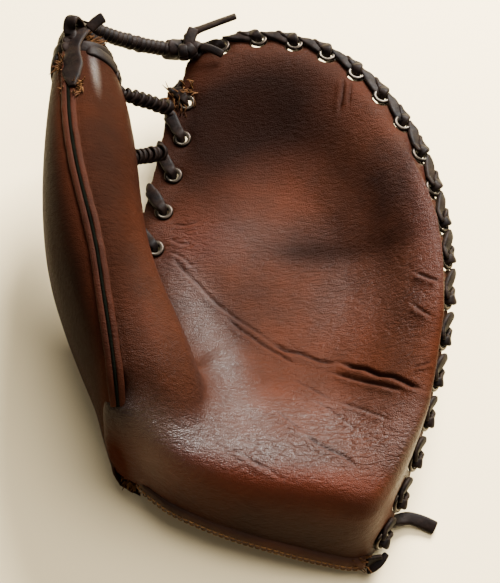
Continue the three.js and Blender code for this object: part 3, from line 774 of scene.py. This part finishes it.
def web_edge():
    """The middle of the flap outside the eyelets that face the thumb, and the direction off its face."""
    found = [axis_of(name) for name in EYELETS if name.startswith("web")]
    found.sort(key=lambda row: -row[0][1])
    places = np.array([row[0] for row in found])
    axes = np.array([row[1] for row in found])
    run = np.gradient(places, axis=0)
    out = np.stack([run[:, 1], -run[:, 0], np.zeros(len(run))], axis=1)
    out /= np.linalg.norm(out, axis=1)[:, None]
    middle = places + out * FLAP_OUT * MM - axes * FLAP_DOWN * MM
    line = smooth_line(longer(middle, FLAP_PAST * MM), 2 * MM)
    return line, spread(axes, len(line))


# Marks on the palm, as rows of place in plan (x, y), half sizes (wide, tall), turn in degrees and amount.
# Lengths are millimetres. least, most: what the sum of the marks stays between.
PALM_MARKS = {
    # shade: painted shade in the pocket's hollow and middle, on the thumb's face, the heel's front and the
    # right wall
    "shade": {"least": 0, "most": 0.93, "spots": [
        (0, 100, 56, 30, 0, 1.1), (50, 10, 42, 7, -4, 0.6), (25, 12, 16, 12, 0, 0.35),
        (-22, 62, 26, 30, 0, 0.65), (30, 72, 26, 15, 0, 0.35), (0, -150, 90, 20, -8, 1.0),
        (-63, -104, 9, 14, 0, 0.7), (-68, 10, 20, 130, 6, 0.70), (96, -60, 8, 60, -10, 0.7),
        (-54, -117, 12, 8, -20, 0.5),
    ]},
    # Painted light: a lighter orange along the heel's ridge, near the web's eyelets and on the right rim
    "painted_light": {"least": 0, "most": 0.8, "spots": [
        (-20, -122, 60, 7, -14, 0.5), (35, -128, 40, 7, -4, 0.5), (-30, 20, 20, 18, 0, 0.30),
        (88, 0, 8, 60, 0, 0.3),
    ]},
    "polish": {"least": -0.08, "most": 1, "spots": [
        (-20, -42, 46, 9, -70, 0.8), (-6, 19, 22, 16, 0, 0.14), (59, -23, 24, 24, 0, 0.30),
        (88, 6, 8, 40, 0, 0.2), (54, -104, 26, 18, 0, 0.36), (32, -92, 24, 14, 0, 0.4),
        (1, -110, 34, 11, -10, 0.8), (-42, -108, 20, 9, -20, 0.9), (-62, -112, 10, 12, 0, -0.2),
        (-72, 20, 18, 110, 6, -0.12), (0, -146, 80, 9, -8, 0.12), (0, 100, 56, 30, 0, -0.06),
        (-22, 62, 26, 30, 0, -0.05), (50, 10, 42, 7, -4, -0.07), (95, -50, 9, 80, -8, -0.2),
        (-6, -88, 20, 12, 0, 0.4), (-80.5, 87, 1.6, 14, 10, 1.0),
    ]},
    "crinkle": {"least": 0.08, "most": 1, "spots": [
        (30, -90, 26, 16, -30, 0.9), (1, -110, 34, 12, -10, 0.8), (-34, 16, 12, 24, 0, 0.6),
        (80, -40, 12, 40, 0, 0.5), (56, -108, 24, 18, 0, 0.7), (20, -20, 60, 60, 0, 0.35),
        (-20, -140, 60, 14, -10, 0.5), (-68, -20, 12, 60, 0, 0.35),
    ]},
}
# The back's looks by the distance from the thumb's seam: widths of its edge of painted light and of its painted
# shade, millimetres
SEAM_PAINTED_LIGHT = 8
SEAM_PAINTED_SHADE = 13
BACK_POLISH = -0.075


palm = remeshed(with_foot("palm_hide"))
smooth_facets(palm)
for row in SOFTENED:
    soften(palm, row["place"], row["wide"], row["passes"])
refine(palm, CREASES, CREASE_REACH)
raise_folds(palm, RIDGES, DIMPLES)
wrinkle(palm)
grooves = crease(palm, CREASES)
places = points_of(palm.data)
# Painted shade in the creases, stored as groove
store(palm.data, "groove", grooves)
for name, mark in PALM_MARKS.items():
    store(palm.data, name, np.clip(spots(places, mark["spots"]), mark["least"], mark["most"]))
finish_piece(palm, PALM_LEATHER, "leather", "palm", "thumb_face")

THUMB_SEAM = [tuple(place / MM) for place in tube_line("thumb_welt", 4)[::3]]
back = remeshed(new_piece("back_hide", merged_copy("back", "back_hide")))
smooth_facets(back)
from_seam = near_line(points_of(back.data), THUMB_SEAM)[0] / MM
# Painted shade that deepens away from the thumb's seam, and painted light along the seam
store(back.data, "shade", np.clip(from_seam / SEAM_PAINTED_SHADE * 0.6 + 0.25, 0, 0.78))
store(back.data, "painted_light", 0.2 * np.exp(-((from_seam / SEAM_PAINTED_LIGHT) ** 2)))
store(back.data, "polish", np.full(len(from_seam), BACK_POLISH))
finish_piece(back, PALM_LEATHER, "leather", "back")


CARRIERS = tree_of(palm.data, back.data, *(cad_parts[name].data for name in WIND_PITCH))


# Eyelets: rolled metal rings

# The section of a ring. out: distance from its middle. up: height over the leather. Millimetres, once round.
# The last column: how much highlight is painted there, brightest on the ring's inner lip
RING = [
    {"out": 2.8, "up": -2.0, "painted_highlight": 0},
    {"out": 2.8, "up": 0.1, "painted_highlight": 0.1},
    {"out": 2.95, "up": 0.6, "painted_highlight": 0.9},
    {"out": 3.4, "up": 0.95, "painted_highlight": 0.25},
    {"out": 4.0, "up": 1.05, "painted_highlight": 0},
    {"out": 4.6, "up": 0.85, "painted_highlight": 0},
    {"out": 5.0, "up": 0.45, "painted_highlight": 0},
    {"out": 5.1, "up": -0.1, "painted_highlight": 0},
    {"out": 5.0, "up": -0.5, "painted_highlight": 0},
    {"out": 3.2, "up": -0.5, "painted_highlight": 0},
    {"out": 3.1, "up": -2.0, "painted_highlight": 0},
]
RING_STEPS = 28


def ring_piece(node_name, name):
    place, axis = axis_of(node_name)
    bm = bmesh.new()
    painted_highlight = bm.verts.layers.float.new("painted_highlight")
    verts = [bm.verts.new((row["out"] * MM, 0, row["up"] * MM)) for row in RING]
    for v, row in zip(verts, RING):
        v[painted_highlight] = row["painted_highlight"]
    edges = [bm.edges.new((verts[i - 1], verts[i])) for i in range(len(verts))]
    bmesh.ops.spin(bm, geom=verts + edges, axis=(0, 0, 1), cent=(0, 0, 0), angle=math.tau, steps=RING_STEPS,
                   use_merge=True)
    bmesh.ops.remove_doubles(bm, verts=bm.verts, dist=0.01 * MM)
    turn = Vector((0, 0, 1)).rotation_difference(Vector(axis)).to_matrix().to_4x4()
    bmesh.ops.transform(bm, matrix=Matrix.Translation(place) @ turn, verts=bm.verts)
    return piece_of(bm, name, 1)


for node_name in EYELETS:
    finish_piece(ring_piece(node_name, node_name + "_ring"), METAL, "eyelet", node_name)
EYELET_PLACES = np.array([axis_of(name)[0] for name in EYELETS])


# Laces

def lace(bm, line, wide, thick, seed):
    """A lace along a line: laid on the leather, narrower in the eyelets, and uneven in width."""
    far = np.min(np.linalg.norm(line[:, None] - EYELET_PLACES[None], axis=2), axis=1) / MM
    hold = np.clip((far - EYELET_HOLD) / 2.5, 0, 1)
    line, away = lay(line, CARRIERS, LACE_CLEAR, hold)
    uneven = np.array([noise.noise(Vector((k * 0.11, seed, 0.5))) for k in range(len(line))])
    pinch = 0.70 + 0.30 * np.clip((far - 2) / 4, 0, 1)
    sweep(bm, line, away, wide * pinch * (1 + 0.14 * uneven), thick * (1 + 0.2 * uneven))


WEB_EYELETS = sorted((name for name in EYELETS if name.startswith("web")),
                     key=lambda name: axis_of(name)[0][1])
RIM_EYELETS = sorted((name for name in EYELETS if not name.startswith("web")),
                     key=lambda name: math.atan2(axis_of(name)[0][1], axis_of(name)[0][0] - 30 * MM))
# Lengths of lace that bulge past the edge between two eyelets. along: share of the way. out: share of how far
# they reach. up: height over the eyelets, millimetres.
LENS_WIDE = 6.4
LENS_ARCH = [
    {"along": 0.0, "out": 0.0, "up": 1.2},
    {"along": 0.16, "out": 0.35, "up": 2.2},
    {"along": 0.42, "out": 0.80, "up": 2.4},
    {"along": 0.68, "out": 1.10, "up": 1.2},
    {"along": 0.88, "out": 1.35, "up": -2.0},
]
# The laces. wide, thick: millimetres. seed: of their unevenness. lenses: the eyelets with lengths that bulge
# between them, a place inside these eyelets and how far the lengths reach past the edge, millimetres.
LACES = [
    {"node": "edge_lace", "wide": LACE_WIDE, "thick": LACE_THICK, "seed": 1,
     "lenses": (RIM_EYELETS, (30, 0, 0), 5.2)},
    {"node": "web_lace", "wide": LACE_WIDE, "thick": LACE_THICK, "seed": 2,
     "lenses": (WEB_EYELETS, (30, 60, 0), 10.0)},
    {"node": "corner_lace", "wide": LACE_WIDE, "thick": LACE_THICK, "seed": 3},
    {"node": "thumb_lace", "wide": 6.4, "thick": 2.4, "seed": 4},
    {"node": "thumb_tie", "wide": 7.4, "thick": 2.6, "seed": 5},
]


def lens_laces(bm, names, middle, reach):
    """The lengths of lace that lie along the rim between eyelets. middle: a place inside these."""
    ends = [axis_of(name)[0] for name in names]
    for k in range(len(ends) - 1):
        start = ends[k]
        run = ends[k + 1] - start
        out = (start + ends[k + 1]) / 2 - np.array(middle) * MM
        out[2] = 0
        out /= np.linalg.norm(out)
        line = np.array([start + run * row["along"] + out * row["out"] * reach * MM
                         + np.array((0, 0, row["up"])) * MM for row in LENS_ARCH])
        line = smooth_line(line, LACE_STEP * MM)
        hold = np.clip(np.linspace(0, 5, len(line)), 0, 1)
        line, away = lay(line, CARRIERS, LACE_CLEAR, hold)
        share = np.linspace(0, 1, len(line))
        full = np.sin(math.pi * np.clip(share * 0.86 + 0.12, 0, 1)) ** 0.6
        uneven = 1 + 0.16 * noise.noise(Vector((k * 1.7, 4.0, 0.5)))
        sweep(bm, line, away, LENS_WIDE * uneven * (0.35 + 0.65 * full), LACE_THICK)


for row in LACES:
    bm = bmesh.new()
    lace(bm, smooth_line(tube_line(row["node"], 4), LACE_STEP * MM), row["wide"], row["thick"], row["seed"])
    if "lenses" in row:
        lens_laces(bm, *row["lenses"])
    finish_piece(piece_of(bm, row["node"] + "_strip", 1), LACE, "lace", row["node"])


# The lower bars are drawn flatter than in the frame, from the thumb's face to the palm's edge
BAR_LINES = {
    "web_bar_2": np.array([(-71, 88, 68), (-65, 86.5, 68), (-55, 90, 58), (-43, 94, 46)]) * MM,
    "web_bar_3": np.array([(-66, 42, 72), (-60.5, 48, 66), (-53, 55.5, 58), (-46, 63, 50)]) * MM,
}


def wound_bar(node_name, seed, pitch):
    """A bar of the web: a core with lace wound round it, each turn leaning on the one before."""
    middle = BAR_LINES.get(node_name, longer(tube_line(node_name, 5), BAR_REACH * MM))
    middle = smooth_line(middle, 0.5 * MM)
    run = np.concatenate([[0], np.cumsum(np.linalg.norm(np.diff(middle, axis=0), axis=1))])
    turns = round(run[-1] / MM / pitch)
    along = np.linspace(0.01, 0.99, turns * WIND_STEPS)
    slip = np.array([noise.noise(Vector((a * turns * 0.9, seed, 3.1))) for a in along])
    at = (along + slip * 0.25 / turns) * run[-1]
    centre = np.stack([np.interp(at, run, middle[:, k]) for k in range(3)], axis=1)
    forward = Vector(middle[-1] - middle[0]).normalized()
    side = np.array(forward.cross(Vector((0, 0, 1))).normalized())
    up = np.cross(side, np.array(forward))
    turn = math.tau * turns * along
    out = np.cos(turn)[:, None] * side + np.sin(turn)[:, None] * up
    line = centre + out * (WIND_RADIUS + 0.5 * slip)[:, None] * MM
    lean = math.radians(WIND_LEAN)
    bm = bmesh.new()
    away = out * math.cos(lean) + np.array(forward) * math.sin(lean)
    sweep(bm, line, away, WIND_WIDE * (1 + 0.35 * slip), WIND_THICK, 8)
    sweep(bm, middle[::4], (0, 0, 1), 2 * BAR_CORE, 2 * BAR_CORE, 10, 1.0)
    return finish_piece(piece_of(bm, node_name + "_winding", 1), LACE, "lace", node_name)


for number, (node_name, pitch) in enumerate(WIND_PITCH.items(), 1):
    wound_bar(node_name, number, pitch)


# Knots, ends and worn places of the laces

# Turns of lace round the tip of the thumb: how far below the top, how they lean, and their width, millimetres
TIP_TURNS = [
    {"down": 26, "lean": 0.20, "wide": 7.5}, {"down": 18, "lean": -0.22, "wide": 7.0},
    {"down": 11, "lean": 0.10, "wide": 7.0}, {"down": 6, "lean": -0.15, "wide": 7.0},
]
TIP_THICK = 2.8
# The middle of the tip in x and z, how far outside it the search for its surface starts, and its radius where
# that finds nothing, millimetres
TIP_MIDDLE = (-90, 76)
TIP_OUTSIDE = 60
TIP_RADIUS = 14
# The band down the front of the tip: places from its frayed foot up and over, millimetres, and widths
TIP_BAND = [(-89.5, 68, 99, 3), (-90, 70.5, 99, 9), (-90.5, 74, 99, 13), (-91.5, 80, 99, 11.5),
            (-93, 88, 97, 10), (-93, 97, 94, 12), (-92, 106, 91, 15), (-91, 114, 88, 16), (-90, 121, 80, 15),
            (-90, 123, 70, 13)]
# Loose ends, and the knot at the web's top corner: places in millimetres, and the lean of each turn
TIP_STUB = [(-85, 113, 89), (-81, 117, 91), (-77, 119, 92)]
CORNER_TURNS = [(-37.5, 131, 49, 0.0), (-34.5, 132, 49, 0.9), (-31, 134, 48, -0.7)]
CORNER_STUB = [(-35, 134, 51), (-34, 139, 53), (-32, 144, 54)]
CORNER_TIE = [(-29, 134, 50), (-25, 133.5, 50.5), (-20, 131.5, 50), (-16, 129, 49.5)]
HEEL_CURL = [(54, -150, 9), (57, -150, 10), (61, -147.5, 11), (64, -143.5, 12)]


def ring_of(bm, centre, axis, radius, wide, thick):
    """One closed turn of lace. centre: millimetres. axis: what it goes round."""
    axis = Vector(axis).normalized()
    side = axis.cross(Vector((0.1, 0.2, 1))).normalized()
    up = axis.cross(side)
    turn = np.linspace(0, math.tau, 25)
    out = np.cos(turn)[:, None] * np.array(side) + np.sin(turn)[:, None] * np.array(up)
    line = np.array(centre) * MM + out * radius * MM
    sweep(bm, line, out, wide, thick)


def girdle(bm, tree, row, top):
    """A turn of lace drawn tight round the tip of the thumb."""
    centre = np.array((TIP_MIDDLE[0], top - row["down"], TIP_MIDDLE[1])) * MM
    line = []
    for turn in np.linspace(0, math.tau, 41):
        out = Vector((math.cos(turn), row["lean"] * math.sin(turn), math.sin(turn))).normalized()
        hit = tree.ray_cast(Vector(centre) + out * TIP_OUTSIDE * MM, -out)
        place = np.array(hit[0]) if hit[0] else centre + np.array(out) * TIP_RADIUS * MM
        line.append(place + np.array(out) * TIP_THICK * 0.35 * MM)
    line = averaged(np.array(line), 3)
    away = line - centre
    away /= np.linalg.norm(away, axis=1)[:, None]
    sweep(bm, line, away, row["wide"], TIP_THICK)


def strand_line(rows):
    return smooth_line(np.array([row[:3] for row in rows]) * MM, 1.2 * MM)


def knots_piece():
    """The wraps and the stub at the thumb's tip, and the knot and its stub at the web's top corner."""
    tree = tree_of(palm.data, back.data)
    bm = bmesh.new()
    top = max(v.co.y for v in palm.data.vertices if v.co.x < -60 * MM) / MM
    for row in TIP_TURNS:
        girdle(bm, tree, row, top)
    band = strand_line(TIP_BAND)
    widths = spread([row[3:] for row in TIP_BAND], len(band))[:, 0]
    band, away = lay(band, tree, 2.2, np.ones(len(band)))
    sweep(bm, band, away, widths, TIP_THICK)
    for rows, wide in ((TIP_STUB, 6.0), (CORNER_STUB, 6.5), (CORNER_TIE, 4.5)):
        sweep(bm, strand_line(rows), (0, -0.5, 0.86), wide, 2.4)
    for x, y, z, lean in CORNER_TURNS:
        ring_of(bm, (x, y, z), (1, lean, 0.1), 3.6, 5.5, 2.4)
    curl = strand_line(HEEL_CURL)
    sweep(bm, curl, (0, -0.3, 0.95), np.linspace(6, 3, len(curl)), 1.8)
    return finish_piece(piece_of(bm, "lace_knots", 1), LACE, "lace")


# Frayed places. place, long, wide: their middle, the length of the fibres and their spread, millimetres.
# towards: direction. count: half of the fibres tried. Those that start too far off the leather are left out.
FRAYS = [
    {"place": (-90, 71, 101), "towards": (-0.1, -0.8, 0.5), "count": 34, "long": 5, "wide": 11},
    {"place": (-97, 88, 95), "towards": (-0.3, -0.8, 0.5), "count": 26, "long": 7, "wide": 7},
    {"place": (-83, 111, 92), "towards": (0.7, 0.1, 0.6), "count": 16, "long": 4, "wide": 6},
    {"place": (-40, 109, 47), "towards": (-0.5, -0.3, 0.8), "count": 46, "long": 7, "wide": 16},
    {"place": (-41, 99, 47), "towards": (0.3, 0.6, 0.6), "count": 16, "long": 6, "wide": 8},
    {"place": (-76, 112, 90), "towards": (0.9, 0.2, 0.3), "count": 16, "long": 5, "wide": 6},
    {"place": (50, -149, 12), "towards": (0.7, -0.3, 0.3), "count": 40, "long": 6, "wide": 10},
    {"place": (-60, 92, 78), "towards": (-0.8, 0.0, 0.5), "count": 10, "long": 4, "wide": 5},
    {"place": (-43, 80, 48), "towards": (-0.6, 0.6, 0.5), "count": 12, "long": 4, "wide": 5},
    {"place": (-58, -110, 22), "towards": (-0.2, -0.8, -0.3), "count": 14, "long": 4, "wide": 8},
]


FRAY_HOLD = 9
FRAY_WIDTHS = np.array([1.0, 0.8, 0.6, 0.3])
FRAY_THICK = 0.4


def frays_piece():
    """Loose fibres where the leather and the laces are worn through."""
    draw = random.Random(5)
    hides = tree_of(palm.data, back.data)
    bm = bmesh.new()
    for row in FRAYS:
        for _ in range(2 * row["count"]):
            spread = [draw.uniform(-0.5, 0.5) * row["wide"] for _ in range(3)]
            root = Vector([(a + b) * MM for a, b in zip(row["place"], spread)])
            found = hides.find_nearest(root)
            if (found[0] - root).length > FRAY_HOLD * MM:
                continue
            root = found[0]
            lean = Vector([a + draw.uniform(-0.7, 0.7) for a in row["towards"]]).normalized()
            bend = Vector([draw.uniform(-0.5, 0.5) for _ in range(3)])
            reach = row["long"] * draw.uniform(0.4, 1.0) * MM
            line = np.array([root + (lean * t + bend * t * t * 0.6 + found[1] * 0.25 * t) * reach
                             for t in (0, 0.35, 0.7, 1)])
            sweep(bm, line, (0.1, -0.3, 0.9), FRAY_WIDTHS, FRAY_THICK, 5, 1.0)
    return finish_piece(piece_of(bm, "frayed_fibres", 0), FRAY, "leather")


knots_piece()
frays_piece()


# Seam of the thumb

# Strip in the seam and the bead on it: widths, thicknesses, and how high their middles lie, millimetres
WELT_STRIP = 6.0
WELT_THICK = 1.6
WELT_UP = 0.2
WELT_BEAD = 1.9
BEAD_THICK = 2.4
BEAD_UP = 1.1
# Leather that turns in at both sides of the seam, millimetres: how far off its middle, height, width, thickness
LIP_OUT = 2.2
LIP_UP = 1.15
LIP_WIDE = 3.2
LIP_THICK = 1.7


def seam_line():
    """The middle of the thumb's seam, the direction out of it, and the direction across it."""
    line = smooth_line(tube_line("thumb_welt", 4), 2 * MM)
    run = np.gradient(line, axis=0)
    run /= np.linalg.norm(run, axis=1)[:, None]
    up = np.array([0, 0, 1]) - run[:, 2:] * run
    up /= np.linalg.norm(up, axis=1)[:, None]
    return line, up, np.cross(run, up)


def welt_piece():
    """A dark strip under both edges of the seam, with a bead along its middle."""
    line, up, _ = seam_line()
    uneven = np.array([noise.noise(Vector((k * 0.45, 2.0, 0.5))) for k in range(len(line))])
    bm = bmesh.new()
    sweep(bm, line + up * WELT_UP * MM, up, WELT_STRIP, WELT_THICK)
    sweep(bm, line + up * BEAD_UP * MM, up, WELT_BEAD * (1 + 0.4 * uneven), BEAD_THICK, 10, 1.0)
    return finish_piece(piece_of(bm, "thumb_welt_strip", 1), WELT_LEATHER, "welt", "thumb_welt")


def lips_piece():
    """The turned edges of the leather at both sides of the seam."""
    line, up, across = seam_line()
    bm = bmesh.new()
    for side in (-1, 1):
        uneven = np.array([noise.noise(Vector((k * 0.3, side, 7.5))) for k in range(len(line))])[:, None]
        middle = line + across * side * (LIP_OUT + 0.25 * uneven) * MM + up * (LIP_UP + 0.3 * uneven) * MM
        sweep(bm, middle, up + across * side * 0.25, LIP_WIDE, LIP_THICK, square=0.8)
    return finish_piece(piece_of(bm, "thumb_seam_edges", 1), SEAM_LEATHER, "leather")


welt_piece()
lips_piece()


# Trim that keeps its shape from the frame

def rounded(node_name, name, levels, swell):
    """A frame node's shape with its facets paired up and rounded off."""
    mesh = merged_copy(node_name, name)
    bm = bmesh.new()
    bm.from_mesh(mesh)
    bmesh.ops.join_triangles(bm, faces=bm.faces, angle_face_threshold=3.2, angle_shape_threshold=3.2)
    bm.normal_update()
    for v in bm.verts:
        v.co += v.normal * swell * MM
    bm.to_mesh(mesh)
    bm.free()
    piece = new_piece(name, mesh)
    return round_off(piece, levels)


def binding_piece():
    """The folded strip along the heel's lower edge."""
    line = smooth_line(np.array(HEEL_EDGE) * MM, 2 * MM)
    away = outward(line)
    bm = bmesh.new()
    middle = line + (away * (BINDING_OUT - BINDING_THICK / 2) + np.array((0, 0, BINDING_UP))) * MM
    sweep(bm, middle, away, BINDING_HIGH, BINDING_THICK, 16, 0.7)
    return finish_piece(piece_of(bm, "heel_binding_fold", 1), BINDING_LEATHER, "binding", "heel_binding")


def outward(line):
    """The level direction away from the heel at each point of a line along it."""
    run = np.gradient(line, axis=0)
    out = np.stack([run[:, 1], -run[:, 0], np.zeros(len(line))], axis=1)
    return out / np.linalg.norm(out, axis=1)[:, None]


def stitches(bm, line, away):
    """A row of stitches that lie along a line."""
    line = smooth_line(line, STITCH_PITCH * MM / STITCH_STEPS)
    run = np.gradient(line, axis=0)
    away = averaged(away, 1)
    at = np.linspace(0, 1, len(away))
    for k in range(0, len(line) - STITCH_STEPS, STITCH_STEPS):
        share = k / len(line)
        out = np.array([np.interp(share, at, away[:, c]) for c in range(3)])
        half = run[k] / np.linalg.norm(run[k]) * STITCH_LONG * MM / 2
        rise = out * STITCH_THICK * 0.5 * MM
        ways = ((-1, -1), (-0.6, 0.4), (0.6, 0.4), (1, -1))
        short = np.stack([line[k] + half * along + rise * up for along, up in ways])
        sweep(bm, short, out, STITCH_THICK, STITCH_THICK, 6, 1.0)


def stitch_piece():
    """Two rows of light stitches on the strip along the heel's lower edge, and one along the hem."""
    hides = tree_of(palm.data)
    bm = bmesh.new()
    spot = smooth_line(np.array(HEEL_EDGE) * MM, 3 * MM)
    out = outward(spot)
    for lift in STITCH_LIFTS:
        stitches(bm, spot + out * (BINDING_OUT + 0.05) * MM + np.array((0, 0, lift)) * MM, out)
    spot = smooth_line(np.array(HEM) * MM, 3 * MM)
    found = [hides.find_nearest(Vector(p)) for p in spot + outward(spot) * 4 * MM + np.array((0, 0, 2)) * MM]
    stitches(bm, averaged(np.array([f[0] for f in found]), 2), averaged(np.array([f[1] for f in found]), 2))
    return finish_piece(piece_of(bm, "heel_stitches", 0), THREAD, "binding")


binding_piece()
stitch_piece()
finish_piece(rounded("wrist_strap", "wrist_strap_band", 3, 0.1), BACK_LEATHER, "leather", "wrist_strap")


# Floor, light and camera

def light(name, place, target, size, power, tint):
    data = bpy.data.lights.new(name, "AREA")
    data.shape = "DISK"
    data.size = size
    data.energy = power
    data.color = tint
    lamp = bpy.data.objects.new(name, data)
    bpy.context.scene.collection.objects.link(lamp)
    lamp.location = place
    lamp.rotation_euler = (Vector(target) - Vector(place)).to_track_quat("-Z", "Y").to_euler()
    return lamp


floor_mesh = bpy.data.meshes.new("floor")
bm = bmesh.new()
bmesh.ops.create_grid(bm, x_segments=1, y_segments=1, size=4.0)
bm.to_mesh(floor_mesh)
bm.free()
floor = new_piece("floor", floor_mesh)
floor_finish, floor_tree, floor_shader = material("floor_cloth")
floor_shader.inputs["Base Color"].default_value = colour(252, 230, 182)
floor_shader.inputs["Roughness"].default_value = 0.9
floor.data.materials.append(floor_finish)

PALM_MIDDLE = (0.0, 0.0, 0.03)
light("window", (0.52, 1.06, 0.96), PALM_MIDDLE, 0.8, 178.0, (1.0, 0.98, 0.93))
light("sky", (0.40, 0.05, 1.50), PALM_MIDDLE, 1.2, 30.0, (1.0, 0.98, 0.94))

world = bpy.data.worlds.new("studio")
bpy.context.scene.world = world
world.use_nodes = True
world.node_tree.nodes["Background"].inputs["Color"].default_value = (1.0, 0.97, 0.93, 1)
world.node_tree.nodes["Background"].inputs["Strength"].default_value = 0.2

camera_data = bpy.data.cameras.new("camera")
camera_data.lens = CAMERA_LENS
camera_data.sensor_width = CAMERA_SENSOR
camera = bpy.data.objects.new("camera", camera_data)
bpy.context.scene.collection.objects.link(camera)
rise = math.radians(CAMERA_ELEVATION)
camera.location = CAMERA_TARGET + Vector((0, -math.cos(rise), math.sin(rise))) * CAMERA_DISTANCE
camera.rotation_euler = (CAMERA_TARGET - camera.location).to_track_quat("-Z", "Y").to_euler()
bpy.context.scene.camera = camera
